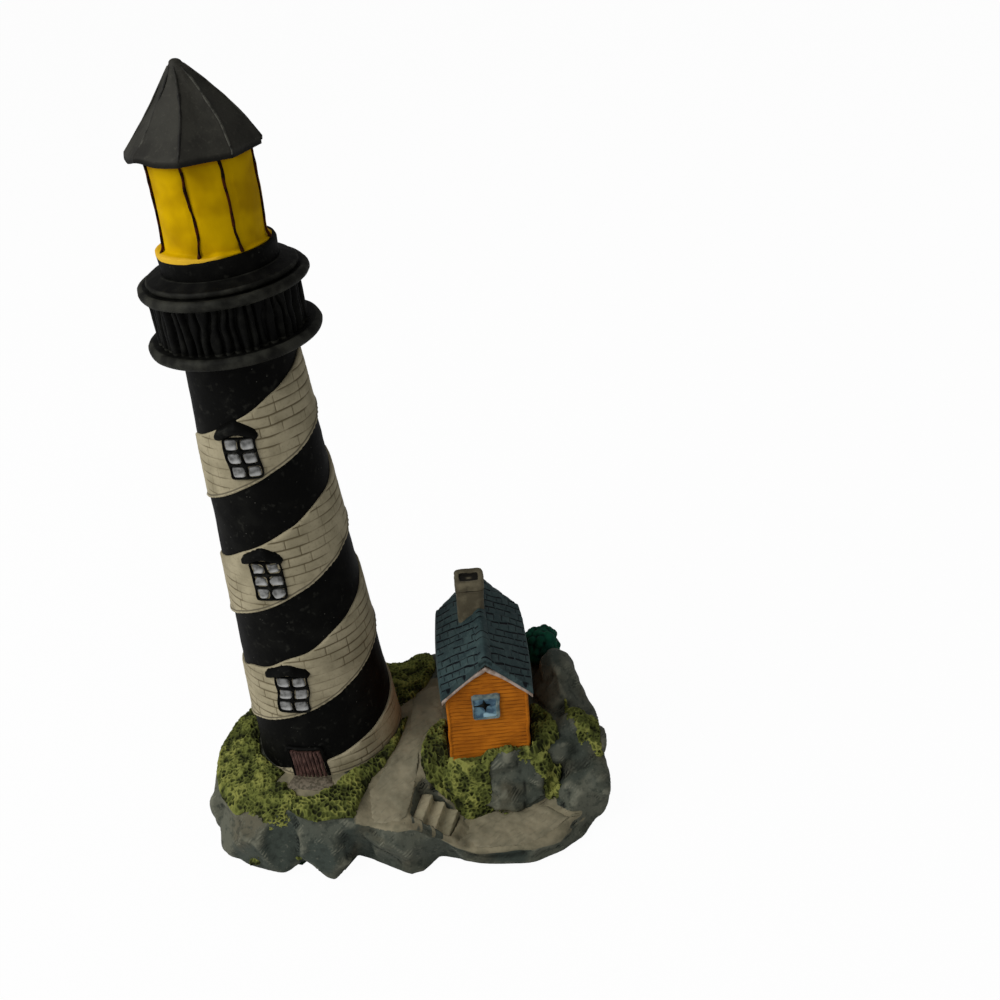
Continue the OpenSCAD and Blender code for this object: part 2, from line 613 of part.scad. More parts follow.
eaves_t = 1.6;
tip_r = 1.8;
roof_rise = roof_h - eaves_t - tip_r * 0.8;
module lantern_roof() color([0.2, 0.2, 0.19]) translate([0, 0, eaves_z]) difference() {
  union() {
    rotate([0, 0, roof_turn]) {
      cylinder(r = eaves_r, h = eaves_t, $fn = 8);
      translate([0, 0, eaves_t]) cylinder(r1 = eaves_r, r2 = tip_r, h = roof_rise, $fn = 8);
    }
    translate([0, 0, roof_h - tip_r]) sphere(r = tip_r, $fn = 24);
  }
  translate([0, 0, -past]) cylinder(r = top_spigot_r + fit, h = past + top_spigot_h + fit);
}

rib_t = 0.9;
module roof_ribs() color([0.24, 0.24, 0.22]) translate([0, 0, eaves_z + eaves_t]) {
  top = 0.96;
  high_r = mix(eaves_r, tip_r, top);
  for (i = [0 : 7]) rotate([0, 0, roof_turn + 45 * i]) rotate([90, 0, 0])
    linear_extrude(rib_t, center = true) polygon([
      [eaves_r + bed, 0], [eaves_r + 0.5, 0], [high_r + rib_t, roof_rise * top], [high_r + bed, roof_rise * top]
    ]);
}

// Cottage

module gable_prism(w, d, h, g) translate([0, d, 0]) rotate([90, 0, 0])
  linear_extrude(d) polygon([[-w / 2, 0], [w / 2, 0], [w / 2, h], [0, h + g], [-w / 2, h]]);

// The cottage's window: place of its middle, depth of its recess and its bars
cot_window_z = 19.5;
cot_window_x = -0.5;
window_recess = 1;
cot_bar = 1.1;
cross_bar = 0.88;

// Share of a siding course that its board covers
board_share = 0.86;

module window_opening() translate([cot_window_x, window_recess / 2 - past, cot_window_z])
  cube([cot_window_w + 2 * fit, window_recess + past * 2, cot_window_h + 2 * fit], center = true);

module cottage_walls() color("peru") at_cottage() difference() {
  inside_w = cottage_w - 2 * board_t;
  translate([0, 0, -cottage_sink])
    gable_prism(inside_w, cottage_d, wall_h + cottage_sink, gable_h * inside_w / cottage_w);
  window_opening();
}

// Boards on the four walls, up to the roof and down to level ground
module cottage_siding() color("darkorange") at_cottage() difference() {
  board = wall_h / siding_count;
  rows = ceil((wall_h + gable_h) / board);
  intersection() {
    union() for (i = [0 : rows - 1]) {
      for (side = [-1, 1]) let(x = side * (cottage_w / 2 - board_t / 2 + bed) - board_t / 2)
        translate([x, 0, board * i]) cube([board_t * 0.8, cottage_d, board * board_share]);
      for (y = [-board_t - bed, cottage_d + bed]) translate([-cottage_w / 2, y, board * i])
        cube([cottage_w, board_t, board * board_share]);
    }
    translate([0, -board_t - bed, 0])
      gable_prism(cottage_w + 1, cottage_d + 2 * (board_t + bed), wall_h - 0.6, gable_h);
  }
  window_opening();
  rotate([0, -cottage_lean, 0]) translate([-cottage_w, -cottage_w, -cottage_w])
    cube([cottage_w * 2, cottage_d + cottage_w * 2, cottage_w + fit]);
}

module cottage_window_frame() color("lightsteelblue") at_cottage()
  translate([cot_window_x, window_recess, cot_window_z]) rotate([90, 0, 0]) {
    open_w = cot_window_w - 2 * cot_bar;
    open_h = cot_window_h - 2 * cot_bar;
    linear_extrude(window_recess + board_t + 0.5) difference() {
      square([cot_window_w, cot_window_h], center = true);
      square([open_w, open_h], center = true);
    }
    linear_extrude(window_recess + board_t + 0.2) {
      square([open_w, cross_bar], center = true);
      square([cross_bar, open_h], center = true);
    }
  }

module cottage_window_panes() color("steelblue") at_cottage()
  translate([cot_window_x, window_recess, cot_window_z]) rotate([90, 0, 0]) {
    open_w = (cot_window_w - 2 * cot_bar - cross_bar) / 2;
    open_h = (cot_window_h - 2 * cot_bar - cross_bar) / 2;
    for (i = [-0.5, 0.5], j = [-0.5, 0.5])
      translate([i * (open_w + cross_bar), j * (open_h + cross_bar)])
        linear_extrude(window_recess + 0.2) square([open_w - 2 * fit, open_h - 2 * fit], center = true);
  }

// Height of the roof's underside at a distance from the ridge line
function under(x) = wall_h + gable_h + bed * 2 - abs(x) * tan(pitch);

module bargeboards() color("linen") at_cottage() {
  half = cottage_w / 2 + roof_over - 0.3;
  thick = gable_over - board_t - 3 * bed;
  for (y = [-board_t - 2 * bed, cottage_d + board_t + 2 * bed + thick])
    translate([0, y, 0]) rotate([90, 0, 0]) linear_extrude(thick) polygon([
      [-half, under(half) - 0.2], [0, under(0) - 0.2], [half, under(half) - 0.2],
      [half - 0.4, under(half) - 2.4], [0, under(0) - 2.8], [-half + 0.4, under(half) - 2.4]
    ]);
}

// Roof with its shingle courses cut as steps down each slope
module along_ridge() at_cottage() translate([0, cottage_d + gable_over, 0]) rotate([90, 0, 0])
  linear_extrude(cottage_d + 2 * gable_over) children();

module cottage_roof() color("darkslategray") along_ridge() {
  half = cottage_w / 2 + roof_over;
  lift = roof_t / cos(pitch);
  step = 0.7;
  slope = [for (i = [0 : course_count - 1])
    let(x0 = half * (1 - i / course_count), x1 = half * (1 - (i + 1) / course_count))
    each [[x0, under(x0) + lift], [x1, under(x1) + lift - step]]];
  polygon(concat(
    [[-half, under(half)], [0, under(0)], [half, under(half)]],
    slope,
    [for (i = [len(slope) - 1 : -1 : 0]) [-slope[i][0], slope[i][1]]]
  ));
}

module ridge_cap() color([0.12, 0.2, 0.2]) difference() {
  top = under(0) + roof_t / cos(pitch);
  span = cottage_w * 0.08;
  fall = span * tan(pitch);
  cap_t = 0.7;
  along_ridge() translate([0, top + 2 * bed]) polygon([
    [-span, -fall], [0, 0], [span, -fall], [span, cap_t - fall], [0, cap_t], [-span, cap_t - fall]
  ]);
  at_cottage() chimney_slot(fit);
}

// The chimney stands on the ridge near the back, a little to the left of it
chimney_x = -2.4;
chimney_y = 29.5;
cap_h = 3;
flue_depth = 1.9;
shaft_low = 3;

module at_chimney() at_cottage() translate([chimney_x, chimney_y, wall_h + gable_h]) children();
module chimney_slot(gap) translate([chimney_x, chimney_y, wall_h + gable_h])
  cube([chimney_w + 2 * gap, chimney_w + 2 * gap, 2 * gable_h], center = true);

module chimney_stack() color([0.45, 0.42, 0.36]) difference() {
  at_chimney() translate([-chimney_w / 2, -chimney_w / 2, -shaft_low - roof_t])
    cube([chimney_w, chimney_w, chimney_h + shaft_low + roof_t - cap_h]);
  along_ridge() polygon([
    [-cottage_w, 0], [cottage_w, 0],
    for (x = [cottage_w, 0, -cottage_w]) [x, under(x) + roof_t / cos(pitch) + bed]
  ]);
}

module at_cap() at_chimney() translate([0, 0, chimney_h - cap_h + bed]) children();
module chimney_cap() color([0.5, 0.47, 0.42]) at_cap() difference() {
  w = chimney_w + 1.4;
  groove = 0.5;
  union() {
    translate([-w / 2, -w / 2, 0]) cube([w, w, cap_h * 0.4]);
    translate([-w / 2 + groove, -w / 2 + groove, 0]) cube([w - 2 * groove, w - 2 * groove, cap_h * 0.6]);
    translate([-w / 2, -w / 2, cap_h * 0.55]) cube([w, w, cap_h * 0.45]);
  }
  translate([-w * 0.28, -w / 4, cap_h - flue_depth]) cube([w * 0.56, w / 2, flue_depth + past]);
}

felt_pad();
rock_base();
footpath();
terrace();
steps();
doorstep();
moss_left();
moss_front();
moss_back();
moss_cottage();
moss_right();
moss_rear();
bush();
tower_shaft();
white_stripe();
window_frames();
window_panes();
window_hoods();
door_planks();
door_frame();
gallery_floor();
gallery_railing();
upper_deck();
lantern_plinth();
lantern_panes();
glazing_bars();
lantern_roof();
roof_ribs();
cottage_walls();
cottage_siding();
cottage_window_frame();
cottage_window_panes();
bargeboards();
cottage_roof();
ridge_cap();
chimney_stack();
chimney_cap();
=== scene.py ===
import itertools
import math

import bmesh
import bpy
import numpy as np
from mathutils import Matrix, Vector
from mathutils.bvhtree import BVHTree


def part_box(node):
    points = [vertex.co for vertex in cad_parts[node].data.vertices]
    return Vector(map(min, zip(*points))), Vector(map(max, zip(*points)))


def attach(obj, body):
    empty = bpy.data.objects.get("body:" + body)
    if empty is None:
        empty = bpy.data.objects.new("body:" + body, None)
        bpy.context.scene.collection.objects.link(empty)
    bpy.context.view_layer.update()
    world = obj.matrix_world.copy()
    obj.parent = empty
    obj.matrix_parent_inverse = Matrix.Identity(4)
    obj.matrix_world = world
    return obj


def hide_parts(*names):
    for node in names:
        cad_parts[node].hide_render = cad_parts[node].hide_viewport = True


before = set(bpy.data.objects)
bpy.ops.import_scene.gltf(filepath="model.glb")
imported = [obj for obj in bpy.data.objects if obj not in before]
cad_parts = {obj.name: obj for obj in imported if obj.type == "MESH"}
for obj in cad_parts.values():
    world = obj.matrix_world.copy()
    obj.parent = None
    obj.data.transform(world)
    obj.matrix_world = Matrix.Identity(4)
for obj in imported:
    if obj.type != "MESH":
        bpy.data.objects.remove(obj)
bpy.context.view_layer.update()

# Sizes are in millimetres until a piece is made; Blender's own values are in metres
MM = 0.001

# Camera: fitted to the tower's outline in the photograph
CAM_AT = Vector((0.0685, -0.3247, 0.2979))
CAM_PITCH = math.radians(30.21)
CAM_ROLL = math.radians(-7.53)
CAM_LENS = 43.2
CAM_SENSOR = 36.0

# Light: a soft lamp from the left and what it points at, a weak white sky, and how far the floor
# glows to the camera; the floor lies a little under the foot
KEY_POWER, KEY_SIZE, KEY_AWAY = 13.0, 1.1, 1.3
KEY_TURN, KEY_RISE = math.radians(-150), math.radians(42)
FILL = 0.24
FLOOR_GLOW = 0.97
KEY_AIM = Vector((0.02, 0.0, 0.1))
FLOOR_SIZE, FLOOR_DROP = 12, 0.0002


# Small mathematics

def clamp01(t):
    return np.clip(t, 0.0, 1.0)


def ease(t):
    c = clamp01(t)
    return c * c * (3 - 2 * c)


def mix(a, b, t):
    return a + (b - a) * t


def xyz(x, y=0, z=0):
    """Points from coordinates that are numbers or arrays."""
    return np.stack(np.broadcast_arrays(x, y, z), -1)


def grid_of(down, along):
    """Two grids of values: one that changes from row to row, one that changes along each row."""
    return np.meshgrid(down, along, indexing="ij")


def whole_turn(count):
    return np.linspace(0, 2 * math.pi, count, endpoint=False)


def hashed(cell, salt):
    """A repeatable number from 0 to 1 for each whole-number cell."""
    c = cell.astype(np.int64)
    h = c[..., 0] * 73856093 ^ c[..., 1] * 19349663 ^ c[..., 2] * 83492791 ^ (salt + 1) * 40503
    h = (h ^ (h >> 13)) * 1274126177 & 0x7FFFFFFF
    h = (h ^ (h >> 11)) * 668265263 & 0x7FFFFFFF
    return (h >> 7 & 0xFFFF) / 65535.0


def noise(p, size, salt=0):
    """Smooth noise from -1 to 1 whose lumps are about as large as size."""
    q = np.asarray(p, float) / size
    base = np.floor(q)
    f = ease(q - base)
    total = 0.0
    for corner in itertools.product((0, 1), repeat=3):
        weight = np.prod(np.where(corner, f, 1 - f), axis=-1)
        total = total + weight * hashed(base + corner, salt)
    return total * 2 - 1


def rough(p, size, salt=0, layers=3):
    """Noise with finer and weaker layers added."""
    return sum(noise(p, size / 2 ** k, salt + 7 * k) / 2 ** k for k in range(layers))


def cells(p, size, salt=0, flat=False):
    """Nearest and second nearest distance to scattered points, the nearest one and its number."""
    q = np.asarray(p, float) / size
    if flat:
        q = q * (1, 1, 0)
    base = np.floor(q)
    first = np.full(q.shape[:-1], 9.0)
    second = first.copy()
    number = np.zeros_like(first)
    centre = np.zeros_like(q)
    for offset in itertools.product((-1, 0, 1), (-1, 0, 1), (0,) if flat else (-1, 0, 1)):
        cell = base + offset
        spot = cell + np.stack([0.1 + 0.8 * hashed(cell, salt + k) for k in range(3)], -1)
        if flat:
            spot = spot * (1, 1, 0)
        away = np.linalg.norm(q - spot, axis=-1)
        near = away < first
        second = np.where(near, first, np.minimum(second, away))
        first = np.where(near, away, first)
        number = np.where(near, hashed(cell, salt + 5), number)
        centre = np.where(near[..., None], spot, centre)
    return first * size, second * size, centre * size, number


# Mesh helpers

def grid_faces(rows, cols, wrap=False):
    """Quads over points stored row by row."""
    j = np.arange(cols if wrap else cols - 1)
    i = np.arange(rows - 1)[:, None]
    a = i * cols + j
    b = i * cols + (j + 1) % cols
    return np.stack([a, b, b + cols, a + cols], -1).reshape(-1, 4)


def slab(front, back):
    """Closed solid between two grids of points: the front one seen from outside, and its back."""
    rows, cols = front.shape[:2]
    n = rows * cols
    order = np.arange(n).reshape(rows, cols)
    rim = np.concatenate([order[0], order[1:, -1], order[-1, -2::-1], order[-2:0:-1, 0]])
    nxt = np.roll(rim, -1)
    faces = grid_faces(rows, cols)
    sides = np.stack([nxt, rim, rim + n, nxt + n], -1)
    points = np.concatenate([front.reshape(-1, 3), back.reshape(-1, 3)])
    return points, np.concatenate([faces, faces[:, ::-1] + n, sides])


def tube(rings):
    """Closed tube through rings of points, with a flat cap on each end."""
    count, n = rings.shape[:2]
    points = rings.reshape(-1, 3)
    ends = np.stack([rings[0].mean(0), rings[-1].mean(0)])
    k = np.arange(n)
    low = np.stack([np.full(n, count * n), (k + 1) % n, k, k], -1)
    high = np.stack([np.full(n, count * n + 1), (count - 1) * n + k, (count - 1) * n + (k + 1) % n,
                     (count - 1) * n + (k + 1) % n], -1)
    return np.concatenate([points, ends]), np.concatenate([grid_faces(count, n, True), low, high])


def with_ends(values, low=0, high=0):
    """A mark's values on the rings of a tube, and on the middles of its two caps."""
    return np.concatenate([values.ravel(), [low, high]])


def with_back(values, back=0.0):
    """A mark's values on the front of a slab, and one value for its back."""
    return np.concatenate([values.ravel(), np.full(values.size, back)])


def joined(parts):
    """Several solids as one mesh."""
    points, faces, start = [], [], 0
    for p, f in parts:
        points.append(p)
        faces.append(f + start)
        start += len(p)
    return np.concatenate(points), np.concatenate(faces)


def averaged(values, quads, times):
    """Values at the points after they are evened out with their neighbours."""
    n = len(values)
    a = quads.ravel()
    b = np.roll(quads, 1, axis=1).ravel()
    count = np.maximum(np.bincount(a, minlength=n) + np.bincount(b, minlength=n), 1)
    for _ in range(times):
        values = (np.bincount(a, values[b], n) + np.bincount(b, values[a], n)) / count
    return values


def normals_of(co, quads):
    across = np.cross(co[quads[:, 2]] - co[quads[:, 0]], co[quads[:, 3]] - co[quads[:, 1]])
    total = np.stack([sum(np.bincount(quads[:, k], across[:, axis], len(co)) for k in range(4))
                      for axis in range(3)], -1)
    return total / np.maximum(np.linalg.norm(total, axis=1, keepdims=True), 1e-9)


def evened(co, quads, times):
    """The points moved to the middle of their neighbours."""
    return np.stack([averaged(co[:, k], quads, times) for k in range(3)], -1)


def hollows(co, quads, reach):
    """How deep each point lies in a hollow (above 0) or stands out on a ridge (below 0)."""
    return ((evened(co, quads, reach) - co) * normals_of(co, quads)).sum(1)


def dips(co, quads, gain, reach, flat=0.5):
    """The mark for hollows: 1 in a deep one, 0 on a sharp ridge and a middle value on the flat."""
    return {"hollow": clamp01(flat + gain * hollows(co, quads, reach))}


def roughened(co, quads, depth, size, salt):
    return co + depth * normals_of(co, quads) * rough(co, size, salt)[:, None]


def bare_mesh(name, points, faces):
    """A mesh in millimetres, with the points that coincide merged."""
    mesh = bpy.data.meshes.new(name)
    rows = [tuple(dict.fromkeys(f)) for f in np.asarray(faces).tolist()]
    mesh.from_pydata(np.asarray(points, float).tolist(), [], [f for f in rows if len(f) > 2])
    return mesh


def voxelled(points, faces, size, ease_times):
    """One closed skin round closed forms that may run into each other."""
    raw = bpy.data.objects.new("raw", bare_mesh("raw", points, faces))
    bpy.context.collection.objects.link(raw)
    skin = raw.modifiers.new("skin", "REMESH")
    skin.mode = "VOXEL"
    skin.voxel_size = size
    even = raw.modifiers.new("even", "SMOOTH")
    even.iterations = ease_times
    done = raw.evaluated_get(bpy.context.evaluated_depsgraph_get()).to_mesh()
    co = np.empty(len(done.vertices) * 3)
    done.vertices.foreach_get("co", co)
    quads = np.empty(len(done.loops), int)
    done.loops.foreach_get("vertex_index", quads)
    bpy.data.objects.remove(raw)
    return co.reshape(-1, 3), quads.reshape(-1, 4)


def node_mesh(node):
    """Points in millimetres and triangles of a CAD node."""
    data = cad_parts[node].data
    data.calc_loop_triangles()
    co = np.empty(len(data.vertices) * 3)
    data.vertices.foreach_get("co", co)
    tris = np.empty(len(data.loop_triangles) * 3, int)
    data.loop_triangles.foreach_get("vertices", tris)
    co = co.reshape(-1, 3) / MM
    unique, back = np.unique(np.round(co, 4), axis=0, return_inverse=True)
    tris = back.reshape(-1)[tris].reshape(-1, 3)
    return unique, np.concatenate([tris, tris[:, 2:]], axis=1)


def piece(name, points, faces, paint, slot, nodes=(), marks=None, sharp=50):
    """Adds one piece that rides on the root body and stands for the CAD nodes."""
    mesh = bare_mesh(name, np.asarray(points) * MM, faces)
    for mark, values in (marks or {}).items():
        mesh.attributes.new(mark, "FLOAT", "POINT").data.foreach_set("value", np.asarray(values, np.float32))
    mesh.polygons.foreach_set("use_smooth", [True] * len(mesh.polygons))
    mesh.set_sharp_from_angle(angle=math.radians(sharp))
    mesh.materials.append(paint)
    obj = bpy.data.objects.new(name, mesh)
    bpy.context.collection.objects.link(obj)
    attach(obj, "root")
    if nodes:
        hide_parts(*nodes)
    return obj


# Paint

def srgb(r, g, b):
    """Colour written as 0 to 255, as an eye sees it."""
    return tuple(((c / 255 + 0.055) / 1.055) ** 2.4 if c > 10 else c / 255 / 12.92 for c in (r, g, b)) + (1.0,)


def add_node(tree, kind, ins, out=0, **settings):
    """Adds a shader node, wires or sets its inputs and gives one of its outputs."""
    made = tree.nodes.new(kind)
    for key, value in settings.items():
        setattr(made, key, value)
    for key, value in ins.items():
        if isinstance(value, bpy.types.NodeSocket):
            tree.links.new(value, made.inputs[key])
        else:
            made.inputs[key].default_value = value
    return made.outputs[out]


class Paint:
    """A node material made of coats of colour, with patterns laid out in millimetres."""

    def __init__(self, name, roughness=0.6, specular=0.2):
        self.mat = bpy.data.materials.new(name)
        self.mat.use_nodes = True
        self.tree = self.mat.node_tree
        self.shader = self.tree.nodes["Principled BSDF"]
        self.shader.inputs["Roughness"].default_value = roughness
        self.shader.inputs["Specular IOR Level"].default_value = specular
        coords = self.node("ShaderNodeTexCoord", {}, "Object")
        self.place = self.node("ShaderNodeVectorMath", {0: coords, "Scale": 1 / MM}, operation="SCALE")
        self.colour = None

    def node(self, kind, ins, out=0, **settings):
        return add_node(self.tree, kind, ins, out, **settings)

    def stretched(self, scale, turn=(0, 0, 0)):
        turned = self.node("ShaderNodeMapping", {"Vector": self.place, "Rotation": turn})
        return self.node("ShaderNodeVectorMath", {0: turned, 1: scale}, operation="MULTIPLY")

    def noise(self, size, detail=3.0, place=None):
        return self.node("ShaderNodeTexNoise", {
            "Vector": place or self.place, "Scale": 1 / size, "Detail": detail}, "Fac")

    def specks(self, size):
        return self.node("ShaderNodeTexVoronoi", {"Vector": self.place, "Scale": 1 / size}, "Distance")

    def mark(self, name):
        return self.node("ShaderNodeAttribute", {}, "Fac", attribute_name=name)

    def level(self, value, low, high, strength=None):
        """Share from 0 where the value is low to 1, or to the strength, where it is high."""
        share = self.node("ShaderNodeMapRange", {"Value": value, "From Min": low, "From Max": high},
                          interpolation_type="SMOOTHSTEP")
        return self.times(share, strength) if strength else share

    def patch(self, size, detail, low, high, strength=None):
        return self.level(self.noise(size, detail), low, high, strength)

    def marked(self, name, low, high, strength=None):
        return self.level(self.mark(name), low, high, strength)

    def times(self, a, b):
        return self.node("ShaderNodeMath", {0: a, 1: b}, operation="MULTIPLY")

    def plus(self, a, b):
        return self.node("ShaderNodeMath", {0: a, 1: b}, operation="ADD")

    def blend(self, share, a, b):
        return self.node("ShaderNodeMix", {0: share, 6: a, 7: b}, 2, data_type="RGBA")

    def ground(self, share, first, second):
        """The first coat: one colour that goes over into another."""
        self.colour = self.blend(share, srgb(*first), srgb(*second))

    def coat(self, share, colour):
        self.colour = self.blend(share, self.colour, srgb(*colour))

    def finish(self, grain, depth):
        """Wires the colour, and the height of the surface's grain in millimetres."""
        self.tree.links.new(self.colour, self.shader.inputs["Base Color"])
        normal = self.node("ShaderNodeBump", {"Height": grain, "Strength": 1.0, "Distance": depth * MM})
        self.tree.links.new(normal, self.shader.inputs["Normal"])
        return self.mat


def rock_paint():
    """Grey stone with painted shade in its hollows and painted highlight on its ridges, darker near the foot,
    and sand spread from the paths over it.
    """
    p = Paint("rock_paint", 0.68, 0.12)
    p.ground(p.mark("facet"), (60, 68, 62), (98, 99, 86))
    p.coat(p.patch(20, 3, 0.52, 0.7, 0.5), (98, 90, 70))
    p.coat(p.patch(1.8, 4, 0.48, 0.7, 0.6), (46, 52, 46))
    p.coat(p.patch(1.2, 4, 0.6, 0.72, 0.45), (116, 116, 102))
    # Painted shade: near black deep in the hollows
    p.coat(p.marked("hollow", 0.56, 0.85), (16, 20, 17))
    # Painted highlight: paler on the ridges, in patches
    p.coat(p.times(p.marked("hollow", 0.42, 0.22), p.patch(3, 4, 0.38, 0.62, 0.7)), (126, 126, 110))
    height = p.node("ShaderNodeSeparateXYZ", {0: p.place}, "Z")
    p.coat(p.level(height, 6, 1, 0.5), (34, 42, 36))
    p.coat(p.times(p.mark("crack"), 0.85), (14, 17, 14))
    stone = p.colour
    p.ground(p.patch(5, 4, 0.4, 0.66), (140, 132, 108), (114, 109, 88))
    # Painted shade in the hollows of the sand
    p.coat(p.marked("hollow", 0.6, 0.8), (50, 48, 37))
    ragged = p.plus(p.mark("sand"), p.times(p.plus(p.noise(2.5, 3), -0.5), 0.5))
    p.colour = p.blend(p.level(ragged, 0.2, 0.45), stone, p.colour)
    return p.finish(p.noise(0.9, 5), 0.14)


def moss_paint():
    p = Paint("moss_paint", 0.85, 0.1)
    p.ground(p.patch(8, 2, 0.4, 0.65), (112, 118, 58), (144, 146, 76))
    # Painted shade: darker in the pits, near black in the deepest
    p.coat(p.marked("hollow", 0.34, 0.62), (78, 84, 39))
    p.coat(p.marked("hollow", 0.66, 0.92), (38, 41, 20))
    return p.finish(p.noise(0.5, 3), 0.08)


def path_paint(name="path_paint", lift=1.0):
    p = Paint(name, 0.65)
    strokes = p.noise(1.6, 3, p.stretched((0.4, 1.6, 1), (0, 0, -0.65)))
    # lift brightens both colours; above 1 it is painted light
    light, dark = ([c * lift for c in colour] for colour in ((146, 138, 114), (120, 115, 94)))
    p.ground(p.patch(9, 3, 0.35, 0.7), light, dark)
    p.coat(p.level(strokes, 0.52, 0.7, 0.35), (94, 92, 74))
    # Painted shade in the hollows
    p.coat(p.marked("hollow", 0.6, 0.85), (58, 55, 42))
    return p.finish(p.noise(1.5, 4), 0.1)


def doorstep_paint():
    p = Paint("doorstep_paint", 0.7)
    p.ground(p.patch(1.0, 4, 0.4, 0.62), (118, 108, 92), (82, 76, 62))
    return p.finish(p.noise(0.7, 4), 0.15)


def black_paint():
    """Black with a few pale pinholes."""
    p = Paint("black_paint", 0.6, 0.05)
    p.ground(p.patch(7, 4, 0.45, 0.7), (8, 8, 7), (17, 17, 15))
    p.coat(p.patch(2.2, 4, 0.58, 0.72, 0.4), (50, 50, 45))
    pits = p.level(p.specks(1.9), 0.1, 0.04)
    p.coat(p.times(pits, p.patch(5, 2, 0.48, 0.6, 0.45)), (130, 130, 120))
    return p.finish(p.plus(p.noise(1.4, 4), p.times(pits, -0.8)), 0.08)


def ring_paint():
    """Black with a little grey over the edges that stand out, as painted highlight."""
    p = Paint("ring_paint", 0.62, 0.08)
    p.ground(p.patch(3, 4, 0.4, 0.7), (7, 7, 6), (20, 20, 17))
    strokes = p.plus(p.patch(6, 3, 0.35, 0.7, 0.5), 0.12)
    # Painted highlight: grey in strokes on the ridges
    p.coat(p.times(p.marked("hollow", 0.42, 0.2), strokes), (66, 66, 59))
    return p.finish(p.noise(0.9, 4), 0.08)


def brick_paint():
    """Cream bricks with dark joints and painted shade of a groove as a dark line along the stripe's lower edge.
    """
    p = Paint("brick_paint", 0.7, 0.12)
    p.ground(p.patch(8, 3, 0.35, 0.7), (172, 162, 134), (148, 139, 113))
    p.coat(p.patch(0.8, 4, 0.5, 0.75, 0.35), (116, 107, 84))
    p.coat(p.marked("joint", 0.12, 0.7, 0.85), (94, 84, 60))
    # Painted shade of a groove: a dark band a little over the stripe's lower edge
    p.coat(p.times(p.marked("rim", 0.26, 0.32), p.marked("rim", 0.5, 0.4, 0.75)), (76, 70, 56))
    return p.finish(p.noise(0.6, 4), 0.04)


def silver_paint():
    p = Paint("silver_paint", 0.45, 0.3)
    p.ground(p.patch(1.3, 3, 0.35, 0.65), (88, 88, 86), (132, 132, 130))
    # Painted highlight: paler low down and to the right on each pane
    p.coat(p.marked("low", 0.35, 0.95), (196, 196, 194))
    # Painted shade round each pane's edges
    p.coat(p.marked("edge", 0.75, 1.0), (24, 24, 23))
    return p.finish(p.noise(0.8, 3), 0.08)


def door_paint():
    p = Paint("door_paint", 0.6)
    grain = p.noise(0.5, 4, p.stretched((1, 1, 0.18)))
    p.ground(p.level(grain, 0.35, 0.65), (96, 70, 63), (56, 38, 34))
    # Painted shade between the slats
    p.coat(p.marked("hollow", 0.52, 0.7), (16, 10, 9))
    return p.finish(grain, 0.1)


def roof_paint():
    p = Paint("lantern_roof_paint", 0.6, 0.1)
    p.ground(p.patch(9, 3, 0.35, 0.7), (56, 55, 49), (42, 41, 37))
    p.coat(p.patch(1.0, 4, 0.55, 0.75, 0.4), (76, 74, 66))
    p.coat(p.times(p.mark("lip"), 0.8), (12, 12, 10))
    return p.finish(p.noise(1.2, 4), 0.12)


def rib_paint():
    """Ridges of the lantern's roof: dark at the front, paler on the others."""
    p = Paint("rib_paint", 0.55, 0.15)
    p.ground(p.patch(3, 4, 0.42, 0.6), (24, 23, 20), (44, 43, 38))
    p.coat(p.times(p.mark("pale"), p.patch(2, 4, 0.36, 0.56)), (92, 91, 82))
    return p.finish(p.noise(0.8, 4), 0.08)


def bar_paint():
    p = Paint("bar_paint", 0.6, 0.05)
    p.ground(p.patch(2, 3, 0.38, 0.6), (66, 26, 8), (22, 12, 5))
    return p.finish(p.noise(0.8, 3), 0.06)


def lantern_paint():
    """Yellow, browner under the roof as painted shade, and paler where paint ran down over the foot."""
    p = Paint("lantern_paint", 0.5, 0.02)
    p.ground(p.patch(9, 2, 0.35, 0.7), (212, 170, 0), (178, 138, 0))
    # Painted shade: browner at the top of the panes under the roof
    p.coat(p.marked("edge", 0.4, 1.0), (150, 84, 0))
    p.coat(p.marked("spill", 0.4, 0.9), (230, 184, 52))
    return p.finish(p.noise(2.0, 3), 0.08)


def siding_paint():
    p = Paint("siding_paint", 0.7, 0.12)
    grain = p.noise(0.7, 5, p.stretched((0.16, 0.16, 1.6)))
    p.ground(p.patch(7, 3, 0.35, 0.7), (194, 114, 22), (166, 94, 14))
    p.coat(p.level(grain, 0.5, 0.7, 0.45), (124, 64, 8))
    # Painted shadow: a dark line where each board laps over the one under it
    p.coat(p.marked("joint", 0.4, 1.0, 0.7), (84, 40, 6))
    return p.finish(grain, 0.08)


def slate_paint():
    p = Paint("slate_paint", 0.65, 0.12)
    p.ground(p.patch(5, 3, 0.35, 0.7), (62, 80, 80), (46, 62, 64))
    p.coat(p.patch(0.9, 4, 0.52, 0.7, 0.4), (84, 98, 96))
    p.coat(p.marked("joint", 0.12, 0.42), (7, 12, 18))
    return p.finish(p.noise(0.7, 4), 0.1)


def trim_paint():
    p = Paint("trim_paint", 0.65)
    p.ground(p.patch(2.5, 4, 0.4, 0.65), (188, 170, 158), (146, 128, 114))
    return p.finish(p.noise(0.8, 4), 0.08)


def pale_blue_paint():
    p = Paint("pale_blue_paint", 0.6)
    p.ground(p.patch(1.6, 4, 0.4, 0.62), (122, 136, 132), (88, 108, 112))
    return p.finish(p.noise(0.7, 4), 0.08)


def glass_paint():
    p = Paint("glass_paint", 0.45, 0.4)
    p.ground(p.patch(1.8, 3, 0.4, 0.62), (52, 84, 106), (100, 136, 152))
    # Painted highlight: paler low down
    p.coat(p.marked("light", 0.4, 0.9), (160, 196, 210))
    return p.finish(p.noise(0.9, 3), 0.06)


